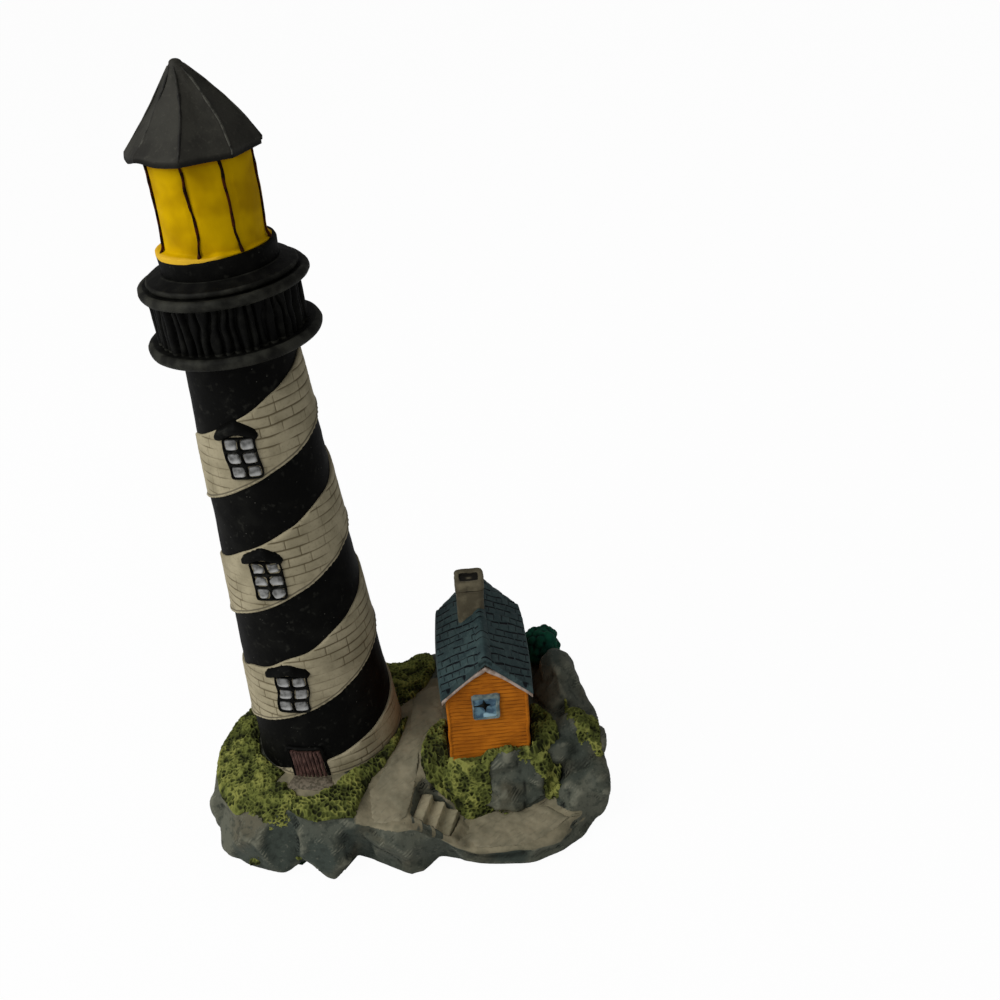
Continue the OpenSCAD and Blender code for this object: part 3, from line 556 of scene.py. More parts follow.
def mortar_paint():
    p = Paint("chimney_paint", 0.7)
    p.ground(p.patch(4, 4, 0.38, 0.62), (118, 110, 88), (92, 85, 67))
    # Painted shade in the hollows
    p.coat(p.marked("hollow", 0.56, 0.78), (28, 26, 20))
    return p.finish(p.noise(0.7, 4), 0.1)


def bush_paint():
    p = Paint("bush_paint", 0.8, 0.1)
    p.ground(p.patch(4, 3, 0.35, 0.7), (22, 84, 62), (13, 60, 48))
    # Painted shade in the hollows between the lumps
    p.coat(p.marked("hollow", 0.4, 0.7), (6, 24, 20))
    return p.finish(p.noise(0.8, 4), 0.1)


def felt_paint():
    p = Paint("felt_paint", 0.95, 0.1)
    p.ground(p.noise(0.5, 5), (38, 66, 44), (26, 46, 32))
    return p.finish(p.noise(0.25, 4), 0.2)


# Frame of the tower

def box_mm(node):
    low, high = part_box(node)
    return np.array(low) / MM, np.array(high) / MM


SPIGOT_H = 9.0
FRONT = math.radians(-101)
FOOT_R = box_mm("tower_shaft")[1][0]
NECK_R = 16.1
GROUND_Z = box_mm("tower_shaft")[0][2] + SPIGOT_H
NECK_Z = box_mm("gallery_floor")[0][2]
RAIL_Z = box_mm("gallery_railing")[0][2]
DECK_Z = box_mm("upper_deck")[0][2]
PLINTH_Z, LANTERN_Z = (corner[2] for corner in box_mm("lantern_plinth"))
EAVES_Z, TIP_Z = (corner[2] for corner in box_mm("lantern_roof"))
FLOOR_R = box_mm("gallery_floor")[1][0]
RAIL_R = box_mm("gallery_railing")[1][0]
DECK_R = box_mm("upper_deck")[1][0]
PLINTH_R = box_mm("lantern_plinth")[1][0]
TAPER = (FOOT_R - NECK_R) / (NECK_Z - GROUND_Z)


def shaft_r(z):
    return FOOT_R - TAPER * (z - GROUND_Z)


def ring_points(radius, turn, z):
    """Points round the tower's axis from arrays of radius, angle and height."""
    return xyz(radius * np.cos(turn), radius * np.sin(turn), z)


def lathe(profile, sides, wobble=0.0, salt=0, shift=0.0):
    """Closed solid turned round the axis, a little uneven as hand-cast work is."""
    profile = np.asarray(profile, float)
    turn = whole_turn(sides)
    points = ring_points(profile[:, :1], turn, profile[:, 1:])
    uneven = wobble * rough(points, 9, salt)
    points[..., :2] *= 1 + (uneven / np.maximum(profile[:, :1], 1))[..., None]
    points[..., 2] += uneven * 0.5
    points[..., 0] += shift
    return tube(points)


def fine_profile(points, step=0.5):
    """Corner points of a profile with short steps put in between."""
    out = []
    for a, b in zip(points[:-1], points[1:]):
        n = max(1, int(math.dist(a, b) / step))
        out += [tuple(mix(np.array(a), np.array(b), k / n)) for k in range(n)]
    return out + [points[-1]]


def rounded(radius, low, high, bulge, n=9):
    """Half-round edge of a ring, from its lower to its upper side."""
    mid, half = (low + high) / 2, (high - low) / 2
    return [(radius - bulge + bulge * math.cos(a), mid + half * math.sin(a))
            for a in np.linspace(-math.pi / 2, math.pi / 2, n)]


def ringed(name, profile, wobble, salt, nodes, sides=180, shift=0.0):
    points, faces = lathe(fine_profile(profile), sides, wobble, salt, shift)
    piece(name, points, faces, RING, "black_paint", nodes, dips(points, faces, 2.4, 3))


def add_shaft():
    z = np.linspace(GROUND_Z - 3, NECK_Z, 150)
    r = shaft_r(z) + 0.55 * ease((z - NECK_Z + 1.4) / 0.8)
    shaft = lathe(np.stack([r, z], -1), 200, 0.16, 3)
    piece("shaft_form", *shaft, BLACK, "black_paint", ["tower_shaft"])


# White stripe: one ribbon of brickwork wound up the shaft. Its rise in one turn and its height, the
# height where it starts on the left side, that side's angle in degrees, and the black band over it
STRIPE_PITCH = 41.0
STRIPE_TALL = STRIPE_PITCH * 0.51
STRIPE_START, LEFT_SIDE, TOP_BAND = 18.0, -156.0, 4.0
BRICK_L, COURSE_H, BRICK_T = 7.6, 3.05, 0.75


def stripe_z(a):
    """Height of the stripe's lower edge at a continuous angle in degrees."""
    return (STRIPE_START + STRIPE_PITCH * (a - LEFT_SIDE) / 360
            + (2.6 - a / 500) * (np.sin(np.radians(a + 73)) + 1) * clamp01((a + 200) / 200))


def add_stripe():
    tall = NECK_Z - GROUND_Z
    courses = int(tall / COURSE_H) + 1
    in_course = np.array([0.0, 0.2, 0.42, 1.1, 1.8, 2.45, 2.85])
    rows = (np.arange(courses)[:, None] * COURSE_H + in_course).ravel()
    deep_row = np.tile([1.0, 0.55, 0, 0, 0, 0, 0.55], courses)
    course = np.repeat(np.arange(courses), len(in_course))
    start = math.floor(LEFT_SIDE - 360 * (STRIPE_START + STRIPE_TALL) / STRIPE_PITCH - 20)
    a = np.arange(start, LEFT_SIDE + 360 * (tall - STRIPE_START) / STRIPE_PITCH + 60)
    turn = np.radians(a)[:, None]
    low = stripe_z(a)[:, None] + 0.25 * noise(xyz(a / 14), 1, 11)[:, None]
    high = low + STRIPE_TALL + 0.5 * noise(xyz(a / 20), 1, 4)[:, None]
    low, high = np.maximum(low, 0.1), np.minimum(high, tall - TOP_BAND)
    high = np.maximum(high, low)

    # Brick ends fall on whole degrees; each course has its own run of lengths
    ends = np.zeros((len(a), courses))
    for c in range(courses):
        degree_at = math.degrees(BRICK_L / shaft_r(GROUND_Z + c * COURSE_H))
        at = a[0] + degree_at * hashed(xyz(c, 3, 1), 2)
        while at < a[-1] - 1:
            ends[int(round(at - a[0])), c] = 1
            at += degree_at * (0.8 + 0.45 * hashed(xyz(c, int(at), 7), 5))
    deep = np.maximum(0.75 * ends[:, course] * (deep_row < 1), deep_row)
    wave = 0.22 * noise(ring_points(16, turn, rows / 2), 5, 9)
    z = np.clip(rows + wave, low, high)
    from_low, from_high = z - low, high - z
    patchy = clamp01(0.7 + 0.7 * noise(ring_points(20, turn, rows), 6, 8))
    cut = deep * patchy * ease((from_low - 0.9) / 0.8) * ease(from_high / 0.5)
    lip = 0.34 * np.exp(-((from_low - 0.5) / 0.45) ** 2)
    edge = np.minimum(from_low, from_high)
    skin = BRICK_T * np.sqrt(clamp01(edge / 0.35 + 0.15)) + lip - 0.24 * cut
    skin = skin + 0.06 * rough(ring_points(20, turn, rows), 3, 21)
    front, back = (ring_points(shaft_r(GROUND_Z + z) + out, turn, GROUND_Z + z).transpose(1, 0, 2)
                   for out in (skin, -0.4))
    points, faces = slab(front, back)
    joint = with_back(cut.T)
    # Height over the stripe's lower edge, for the painted shade of the groove along it
    rim = np.tile(clamp01(from_low / 3).T.ravel(), 2)

    # Rows squeezed flat between the stripe's edges are left out
    faces = faces[np.ptp(points[faces][:, :, 2], axis=1) > 1e-4]
    used = np.unique(faces)
    index = np.full(len(points), -1)
    index[used] = np.arange(len(used))
    piece("brick_stripe", points[used], index[faces], BRICK, "cream_brick_paint", ["white_stripe"],
          {"joint": joint[used], "rim": rim[used]}, 70)


# Windows and door

# Width of the bars, corner radii, height of the lowest window's middle over the ground and the steps up
WINDOW_BAR, FRAME_CORNER, PANE_CORNER = 0.9, 1.5, 0.9
WINDOW_LOW, WINDOW_STEP = 33.2, 41.4
# Each window from the lowest up: width, height, how far right and up it stands, how much of
# their openings its panes fill and how uneven they are
WINDOWS = [
    (11.0, 14.5, -0.3, 0.5, 0.95, 0.16), (10.2, 14.0, 0.1, 1.1, 0.86, 0.5), (10.0, 13.8, 0.8, 0.7, 0.95, 0.16)]
# Each hood: reach to the left and right, height of its peak and lift of its ends
HOODS = [(8.0, 6.6, 2.6, 0.5), (7.2, 5.6, 2.9, 0.5), (7.2, 5.5, 3.0, 0.3)]


def on_shaft(u, v, out, z0, tilt=0.0):
    """Points on the shaft's face: u to the right, v up and out from the surface."""
    u, v, out = np.broadcast_arrays(u + tilt * v, v, out)
    z = z0 + v
    r = shaft_r(z)
    return ring_points(r + out, FRONT + u / r, z)


def set_in_shaft(u, v, out, back, z0, tilt=0.0):
    """Closed form on the shaft's face, from its outer surface down to a level back."""
    return slab(on_shaft(u, v, out, z0, tilt), on_shaft(u, v, back, z0, tilt))


def box_distance(u, v, w, h, corner):
    """Distance outside a rounded rectangle, below 0 inside it."""
    x = np.abs(u) - (w / 2 - corner)
    y = np.abs(v) - (h / 2 - corner)
    return np.hypot(np.maximum(x, 0), np.maximum(y, 0)) + np.minimum(np.maximum(x, y), 0) - corner


def window_warp(u, v, k):
    """Each window is drawn a little differently by hand."""
    sway = 0.42 if k == 0 else 0.21
    return u + sway * np.sin(v * 0.42 + 1.7 * k) + 0.3 * noise(xyz(k * 9, v), 4, 31)


def pane_spots(w, h):
    wide = (w - 3 * WINDOW_BAR) / 2
    high = (h - 4 * WINDOW_BAR) / 3
    return wide, high, [(i * (wide + WINDOW_BAR), j * (high + WINDOW_BAR))
                        for i in (-0.5, 0.5) for j in (-1, 0, 1)]


def add_windows():
    frames, panes, hoods, shade, low = [], [], [], [], []
    for k, (w, h, right, up, fill, uneven) in enumerate(WINDOWS):
        z0 = GROUND_Z + WINDOW_LOW + WINDOW_STEP * k + up
        wide, high, spots = pane_spots(w, h)
        v, u = grid_of(np.linspace(-h / 2 - 0.3, h / 2 + 0.3, 84), np.linspace(-w / 2 - 0.3, w / 2 + 0.3, 72))
        outer = box_distance(u, v, w, h, FRAME_CORNER)
        light = np.min([box_distance(u - x, v - y, wide, high, PANE_CORNER) for x, y in spots], axis=0)
        bars = mix(0.5, 1.5, ease((light + 0.15) / 0.5)) + 0.14 * noise(xyz(u, v, k), 1.6, 6)
        out = mix(-0.35, bars, ease(-outer / 0.5))
        frames.append(set_in_shaft(right + window_warp(u, v, k), v, out, -0.9, z0))
        for number, (x, y) in enumerate(spots):
            t, s = grid_of(np.linspace(-1, 1, 15), np.linspace(-1, 1, 15))
            pull = 1 - 0.1 * (s * t) ** 2
            grow = fill + 0.1 * hashed(xyz(k, number, 4), 3)
            pu = x + s * wide / 2 * grow * pull + uneven * noise(xyz(s, t, number), 1, k)
            pv = y + t * high / 2 * grow * pull + (uneven - 0.16) * noise(xyz(t, s, number), 1, 9)
            pillow = (1 - s ** 4) * (1 - t ** 4)
            out = 0.5 + 0.95 * np.sqrt(clamp01(pillow))
            panes.append(set_in_shaft(right + window_warp(pu, pv, k), pv, out, 0.1, z0))
            # Marks for the painted shade round each pane's edges and the painted highlight low on it
            shade.append(with_back(1 - pillow, 1.0))
            low.append(np.tile((0.45 - 0.55 * t + 0.2 * s).ravel(), 2))
        hoods.append(hood(z0 + h / 2 + 0.5, right, k))
    piece("window_frames_form", *joined(frames), BLACK, "black_paint", ["window_frames"])
    piece("window_panes_form", *joined(panes), SILVER, "silver_paint", ["window_panes"],
          {"edge": np.concatenate(shade), "low": np.concatenate(low)})
    piece("window_hoods_form", *joined(hoods), BLACK, "black_paint", ["window_hoods"])


def hood(z0, right, k):
    """Peaked brow over a window: thick in the middle, its ends pointed and hanging down a little."""
    s = np.linspace(-1, 1, 49)
    half_left, half_right, peak, flare = HOODS[k]
    half = np.where(s < 0, half_left, half_right)
    arch = peak * (1 - np.abs(s) ** 1.4) + flare * np.abs(s) ** 6 - 1.1
    thick = 1.75 - 0.5 * s ** 2 - 0.85 * ease((np.abs(s) - 0.84) / 0.16)
    thick = thick + 0.14 * noise(xyz(s * 6, k), 1.5, 12)
    ring = whole_turn(16)
    carved = 1 + 0.12 * np.cos(3 * ring)
    across = arch[:, None] + 1.25 * thick[:, None] * np.sin(ring) * carved
    out = 0.6 + 1.1 * thick[:, None] * np.cos(ring) * carved
    return tube(on_shaft((right + half * s)[:, None], across, out, z0)[:, ::-1])


# Door: its slats and how much each millimetre up leans to the left
DOOR_W, DOOR_H, SLATS, DOOR_TILT = 10.4, 11.2, 8, -0.09


def add_door():
    slats = []
    wide = DOOR_W / SLATS
    for k in range(SLATS):
        v, u = grid_of(np.linspace(-0.6, DOOR_H, 30), np.linspace(-1, 1, 9))
        top = DOOR_H - 0.5 - 0.8 * hashed(xyz(k, 1, 1), 4)
        v = np.minimum(v, top)
        bend = 0.22 * noise(xyz(v, k), 4, 14)
        out = 0.75 + 0.5 * np.sqrt(clamp01(1 - u ** 4)) + 0.12 * noise(xyz(u, v, k), 0.9, 15)
        x = wide * (k + 0.5 - SLATS / 2) + u * wide * 0.47 + bend
        slats.append(set_in_shaft(x, v, out, -0.6, GROUND_Z, DOOR_TILT))
    points, faces = joined(slats)
    piece("door_slats", points, faces, DOOR, "door_paint", ["door_planks"], dips(points, faces, 5, 1))

    # Dark edge round the door, thick and uneven
    side, up = DOOR_W / 2 + 0.5, np.linspace(-0.5, DOOR_H, 12)
    over = np.linspace(-DOOR_W / 2, DOOR_W / 2, 14)
    way = np.stack([np.concatenate([0 * up - side, over, 0 * up + side]),
                    np.concatenate([up, 0 * over + DOOR_H + 0.2, up[::-1]])], -1)
    ring = whole_turn(12)
    heading = np.gradient(way, axis=0)
    heading /= np.linalg.norm(heading, axis=1, keepdims=True)
    u, v = way[:, :1], way[:, 1:]
    thick = 0.6 + 0.16 * noise(xyz(u, v), 2, 16)
    u, v = u + thick * heading[:, 1:] * np.cos(ring), v - thick * heading[:, :1] * np.cos(ring)
    rings = on_shaft(u, v, 0.3 + 1.3 * thick * np.sin(ring), GROUND_Z, DOOR_TILT)
    piece("door_surround", *tube(rings), BLACK, "door_paint", ["door_frame"])


# Gallery and lantern

RIBS = 48


def add_gallery():
    ringed("gallery_floor_form", [(0.1, NECK_Z), (NECK_R + 1.2, NECK_Z), (FLOOR_R - 2.4, NECK_Z + 0.3)]
           + rounded(FLOOR_R, NECK_Z + 0.3, RAIL_Z - 0.1, 1.5)
           + [(RAIL_R - 0.6, RAIL_Z - 0.3), (0.1, RAIL_Z - 0.3)], 0.3, 5, ["gallery_floor"], shift=0.3)
    ringed("upper_deck_form", [(0.1, DECK_Z), (RAIL_R - 1, DECK_Z), (DECK_R - 1.5, DECK_Z + 0.2)]
           + rounded(DECK_R, DECK_Z + 0.2, DECK_Z + 3.2, 1.4) + [(DECK_R - 2.9, DECK_Z + 2.9)]
           + rounded(DECK_R - 2.7, DECK_Z + 3.1, DECK_Z + 4.9, 0.8)
           + [(PLINTH_R + 0.2, PLINTH_Z + 0.3), (0.1, PLINTH_Z + 0.3)],
           0.3, 6, ["upper_deck"], shift=0.5)
    plinth = fine_profile([(0.1, PLINTH_Z), (PLINTH_R - 0.3, PLINTH_Z), (PLINTH_R, LANTERN_Z - 0.7),
                           (PLINTH_R - 0.3, LANTERN_Z), (0.1, LANTERN_Z)])
    piece("plinth_form", *lathe(plinth, 150, 0.16, 7, PLINTH_SHIFT), BLACK, "black_paint", ["lantern_plinth"])

    # Railing: upright ribs on a drum, each of its own width and a little bent
    turn = whole_turn(RIBS * 12)
    z = np.linspace(RAIL_Z - 0.4, DECK_Z + 0.3, 30)[:, None]
    where = ring_points(20, turn, z * 0.5)
    cell = turn * RIBS / (2 * math.pi) + 0.4 * noise(where, 5, 41) + 0.26 * noise(where, 2.2, 42)
    inside = np.abs((cell % 1) * 2 - 1) / 0.8
    size = 0.6 + 0.6 * hashed(xyz(np.floor(cell) % RIBS), 43)
    r = RAIL_R - 1.7 + 1.6 * size * np.sqrt(clamp01(1 - inside ** 2.2)) + 0.1 * noise(where, 1.2, 44)
    points, faces = tube(ring_points(r, turn, z))
    piece("railing_form", points, faces, RING, "black_paint", ["gallery_railing"],
          dips(points, faces, 2.5, 2, 0.6))


LANTERN_R = 15.2
LANTERN_TURN = FRONT + math.radians(3)
LANTERN_LEAN, PLINTH_SHIFT = 0.9, 0.6
# How far right the foot and the top of the first three bars are drawn from the corner
BAR_SHIFT = [(0.3, -1.0), (-0.7, -2.0), (0.0, 0.3)]
# The left corner: where it is and how much further round it stands; the side where paint ran down
LEFT_CORNER, LEFT_AT = math.radians(12), math.radians(214)
SPILL_TURN = math.radians(-150)


def octagon(turn, corner):
    """Radius of an eight-sided ring of corner radius 1, and the place between corners from -1 to 1."""
    part = (turn - corner) % (math.pi / 4) - math.pi / 8
    return math.cos(math.pi / 8) / np.cos(part), part / (math.pi / 8)


def lantern_shift(points):
    """The lantern stands a little to the right and leans that way under its roof."""
    up = clamp01((points[..., 2] - LANTERN_Z) / (EAVES_Z - LANTERN_Z))
    points[..., 0] += PLINTH_SHIFT + LANTERN_LEAN * up + 0.35 * np.sin(up * math.pi)
    return points


def lantern_corner(turn):
    """One corner of the lantern, on its left, stands further round than the others."""
    return turn + LEFT_CORNER * np.exp(-((turn % (2 * math.pi) - LEFT_AT) / 0.5) ** 2)


def add_lantern():
    turn = LANTERN_TURN + whole_turn(8 * 14)
    low_rows = np.linspace(LANTERN_Z - 0.5, LANTERN_Z + 2.4, 18)
    z = np.concatenate([low_rows, np.linspace(LANTERN_Z + 3, EAVES_Z + 1.5, 34)])[:, None]
    up = clamp01((z - LANTERN_Z) / (EAVES_Z - LANTERN_Z))
    flat, part = octagon(lantern_corner(turn), LANTERN_TURN)
    r = (LANTERN_R - 0.7) * flat + 0.85 * (1 - part ** 2) - 0.3 * (np.abs(part) > 0.9)
    r = r + 0.22 * noise(ring_points(15, turn, z), 5, 51)
    side = ease((np.cos(turn - SPILL_TURN) + 0.2) / 0.9)
    drip = 0.4 * noise(ring_points(15, turn, 4), 3, 54) + 0.5 * side
    spill = np.exp(-(np.maximum(z - LANTERN_Z - 0.1 - drip, 0) / 0.4) ** 2)
    r = mix(r, mix(LANTERN_R + 0.1, PLINTH_R - 0.35, side) + 0.5 * drip, spill)
    points, faces = tube(lantern_shift(ring_points(r, turn, z)))
    # Painted shade under the roof: the top of the panes
    edge = np.broadcast_to(0.8 * ease((up - 0.86) / 0.14), r.shape)
    piece("lantern_body", points, faces, LANTERN, "lantern_paint", ["lantern_panes"],
          {"edge": with_ends(edge, 1, 1), "spill": with_ends(spill * side)})

    bars = []
    ring = whole_turn(10)
    z = np.linspace(LANTERN_Z + 0.3, EAVES_Z + 0.6, 36)[:, None]
    up = (z - z[0]) / (z[-1] - z[0])
    foot = np.exp(-((z - z[0]) / 1.4) ** 2)
    centre = LANTERN_R - 0.75 + 0.9 * foot
    for k in range(8):
        way = xyz(z, 9 * k)
        wander = noise(way, 4, 52)
        thick = 0.38 + 0.12 * noise(way, 2, 53) + 0.2 * foot
        corner = LANTERN_TURN + k * math.pi / 4 - (LEFT_CORNER if k == 7 else 0)
        drawn = mix(*BAR_SHIFT[k], up) if k < len(BAR_SHIFT) else 0
        at = corner + (drawn + 0.4 * wander + thick * np.sin(ring)) / centre
        bars.append(tube(lantern_shift(ring_points(centre + thick * np.cos(ring), at, z))))
    piece("glazing_bars_form", *joined(bars), BAR, "lantern_paint", ["glazing_bars"])


EAVES_R, ROOF_TIP_R = 18.4, 1.7
ROOF_TURN = LANTERN_TURN + math.radians(5)
ROOF_LEAN, ROOF_BULGE = 0.7, 1.3


def roof_outline(up):
    """Radius of the roof's corners from the eaves to the blunt tip."""
    straight = mix(EAVES_R, ROOF_TIP_R, clamp01((up - 0.075) / 0.88))
    swell = 0.45 * np.sin(math.pi * clamp01((up - 0.08) / 0.87))
    top = clamp01((up - 0.95) / 0.05)
    return np.where(up > 0.95, ROOF_TIP_R * np.sqrt(1 - top ** 2), straight + swell)


def roof_shift(points):
    """The roof bulges to the right of its eaves, and its tip stands a little to the right."""
    up = clamp01((points[..., 2] - EAVES_Z) / (TIP_Z - EAVES_Z))
    points[..., 0] += ROOF_LEAN * up + ROOF_BULGE * np.sin(math.pi * up) + 0.3
    return points


def add_lantern_roof():
    turn = ROOF_TURN + whole_turn(8 * 16)
    up = np.concatenate([[0.0, 0.004, 0.03, 0.06, 0.075], np.linspace(0.09, 0.95, 48),
                         0.95 + 0.05 * np.sin(np.linspace(0.15, math.pi / 2, 9))])[:, None]
    z = EAVES_Z + up * (TIP_Z - EAVES_Z)
    flat, part = octagon(turn, ROOF_TURN)
    to_round = ease((up - 0.8) / 0.12)
    dish = -0.4 * (1 - part ** 2) * np.sin(math.pi * clamp01(up / 0.95))
    r = roof_outline(up) * mix(flat, 1, to_round) + dish * (1 - to_round)
    where = ring_points(12, turn, z)
    r = r + 0.35 * noise(where, 6, 61) * (1 - to_round) - 0.5 * (up < 0.002)
    worn = np.exp(-(((turn - ROOF_TURN + math.pi / 4 + math.pi) % (2 * math.pi) - math.pi) / 0.28) ** 2)
    r = r - 0.6 * worn * (1 - up)
    z = z + (0.5 * noise(where * (1, 1, 0.2), 7, 62) - 0.2) * (up < 0.08)
    z = z + 1.5 * worn * clamp01(1 - up / 0.25)
    points, faces = tube(roof_shift(ring_points(np.maximum(r, 0.05), turn, np.minimum(z, TIP_Z))))
    lip = np.broadcast_to(ease((0.075 - up) / 0.03), r.shape)
    piece("lantern_roof_form", points, faces, ROOF, "roof_paint", ["lantern_roof"], {"lip": with_ends(lip, 1)})

    ribs, pale = [], []
    ring = whole_turn(8)
    for k in range(8):
        share = np.linspace(0.03 if k != 7 else 0.08, 0.93, 42)[:, None]
        z = EAVES_Z + share * (TIP_Z - EAVES_Z)
        way = xyz(z, 7 * k)
        swing = 0.3 * noise(way, 5, 63)
        thick = 0.3 + 0.1 * noise(way, 2, 64)
        r = roof_outline(share) - 0.05 - (0.6 * (1 - share) if k == 7 else 0)
        at = ROOF_TURN + k * math.pi / 4 + (swing + 1.2 * thick * np.sin(ring)) / np.maximum(r, 3)
        ribs.append(tube(roof_shift(ring_points(r + thick * np.cos(ring), at, z))))
        light = {0: 0.0, 7: ease((0.55 - share) / 0.4)}.get(k, 0.6)
        pale.append(with_ends(np.broadcast_to(light, at.shape)))
    piece("roof_ribs_form", *joined(ribs), RIB, "roof_paint", ["roof_ribs"], {"pale": np.concatenate(pale)})


# Cottage

# Foot of the front wall's middle; sizes of the walls; how far the roof reaches out and its thickness
COTTAGE_AT = np.array([54.51, -23.76, 28.1])
COTTAGE_W, COTTAGE_D, WALL_H, GABLE_H = 26.0, 45.0, 25.5, 11.5
ROOF_OVER, GABLE_OVER, ROOF_T = 1.8, 2.0, 2.2
PITCH = math.atan(GABLE_H / (COTTAGE_W / 2))
YAW, LEAN = math.radians(1), math.radians(4)
SPIN = np.array(Matrix.Rotation(YAW, 3, "Z") @ Matrix.Rotation(LEAN, 3, "Y"))


def in_cottage(x, y, z):
    """Points in the cottage's own frame: x to the right, y to the back, z up from the ground."""
    return xyz(x, y, z).astype(float) @ SPIN.T + COTTAGE_AT


def set_in_gable(x, z, out, back):
    """Closed form on the front gable, from its outer surface back into the wall."""
    return slab(in_cottage(x, -out, z), in_cottage(x, back, z))


def roof_under(x):
    return WALL_H + GABLE_H + 0.2 - np.abs(x) * math.tan(PITCH)


COURSES = 17
BOARD_T = 0.6


def siding_wall(place, half, salt):
    """Lapped boards of one wall; place(u, v, out) puts a point of the wall in the cottage's frame."""
    gable = half < COTTAGE_D / 2 - 1
    board = WALL_H / COURSES
    count = int((WALL_H + GABLE_H) / board) + 1
    inner = np.array([0.0, 0.06, 0.13, 0.3, 0.5, 0.7, 0.88]) * board
    proud = np.array([0.1, 0.5, 0.9, 0.8, 0.66, 0.5, 0.3])
    v = (np.arange(count)[:, None] * board + inner).ravel()[:, None]
    out = np.tile(proud, count)[:, None]
    u = np.linspace(-1, 1, 110)
    v = np.minimum(v, roof_under(0) - 2.4 if gable else WALL_H - 0.3)
    reach = np.clip((roof_under(0) - 1.8 - v) / math.tan(PITCH), 0.3, half) if gable else half
    x = u * reach
    wave = 0.2 * noise(xyz(x, np.round(v / board) * 3), 5, salt)
    ripple = 0.08 * noise(xyz(x * 0.3, v * 2.2), 1, salt + 1)
    deep = BOARD_T * out + ripple
    # worn breaks up the painted shadow line at random; joint is that painted shadow, where a board runs back
    # under the one over it
    worn = clamp01(0.75 + 0.7 * noise(xyz(x, v), 4, salt + 2))
    joint = clamp01(1.25 - 1.6 * out) * worn
    front = in_cottage(*place(x, np.maximum(v + wave, -0.5), deep))
    back = in_cottage(*place(x, v + 0 * x, -0.3))
    return slab(front, back), with_back(joint)


def add_siding():
    walls = [
        siding_wall(lambda u, v, o: (u, -o, v), COTTAGE_W / 2, 71),
        siding_wall(lambda u, v, o: (-u, COTTAGE_D + o, v), COTTAGE_W / 2, 73),
        siding_wall(lambda u, v, o: (COTTAGE_W / 2 - BOARD_T + o, COTTAGE_D / 2 + u, v), COTTAGE_D / 2, 75),
        siding_wall(lambda u, v, o: (-COTTAGE_W / 2 + BOARD_T - o, COTTAGE_D / 2 - u, v), COTTAGE_D / 2, 77)]
    parts, marks = map(list, zip(*walls))
    ring = whole_turn(12)
    for sx, y in itertools.product((-1, 1), (-0.1, COTTAGE_D + 0.1)):
        v = np.linspace(-0.5, WALL_H - 0.6, 30)[:, None]
        bend = 0.15 * noise(xyz(v, sx, y), 4, 79)
        x = sx * (COTTAGE_W / 2 - 0.3) + bend + 0.6 * np.cos(ring)
        parts.append(tube(in_cottage(x, y + 0.6 * np.sin(ring), v)))
        marks.append(np.zeros(len(parts[-1][0])))
    piece("siding_form", *joined(parts), SIDING, "siding_paint", ["cottage_siding"],
          {"joint": np.concatenate(marks)})


# Middle of the gable's window, its width and height
COT_WINDOW, COT_WINDOW_W, COT_WINDOW_H = (-0.5, 19.6), 9.2, 9.8


def add_cottage_window():
    cx, cz = COT_WINDOW
    v, u = grid_of(np.linspace(-5.2, 5.2, 50), np.linspace(-5.1, 5.1, 48))
    wob = 0.35 * noise(xyz(u, v), 3, 81)
    outer = box_distance(u, v, COT_WINDOW_W, COT_WINDOW_H, 1.0) + wob
    inner = box_distance(u + 0.4, v + 0.4, COT_WINDOW_W - 1.7, COT_WINDOW_H - 2.0, 0.6) + 0.7 * wob
    out = mix(-0.2, 1.5, ease(-outer / 0.4)) - 0.7 * ease(-inner / 0.45)
    piece("cottage_window_surround", *set_in_gable(cx + u, cz + v, out, 0.9), PALE_BLUE,
          "cottage_window_paint", ["cottage_window_frame"])

    # Panes with a painted highlight low down, and over them the dark four-pointed star a little up and left
    wide, high = COT_WINDOW_W - 1.5, COT_WINDOW_H - 1.8
    v, u = grid_of(np.linspace(-high / 2, high / 2, 34), np.linspace(-wide / 2, wide / 2, 34))
    where = xyz(u, v)
    out = 1.0 + 0.12 * noise(where, 2, 82)
    # Where the panes' painted highlight lies
    low = ease((-v - 0.6) / 2.4) * clamp01(0.6 + 0.9 * noise(where, 1.6, 84))
    piece("cottage_panes_form", *set_in_gable(cx - 0.4 + u, cz - 0.4 + v, out, 0.4), GLASS, "glass_paint",
          ["cottage_window_panes"], {"light": with_back(low)})
    arm = np.linspace(-1, 1, 31)
    ring = whole_turn(8)
    arms = []
    deep = -1.15 - 0.25 * np.sin(ring)
    for reach_low, reach_high, wide_at, slope in ((2.5, 2.3, 0.95, -0.1), (3.4, 1.9, 1.0, 0.05)):
        width = 0.1 + wide_at * (1 - np.abs(arm)) ** 1.7
        width = (width + 0.1 * noise(xyz(arm * 4, reach_low), 1, 83))[:, None]
        along = (np.where(arm < 0, reach_low, reach_high) * arm)[:, None]
        side = slope * along + width * np.cos(ring)
        if slope < 0:
            arms.append(tube(in_cottage(cx - 0.5 + side, deep, cz + 0.8 + along)[:, ::-1]))
        else:
            arms.append(tube(in_cottage(cx - 0.5 + along, deep, cz + 0.8 + side)))
    piece("cottage_window_cross", *joined(arms), BLACK, "glass_paint")


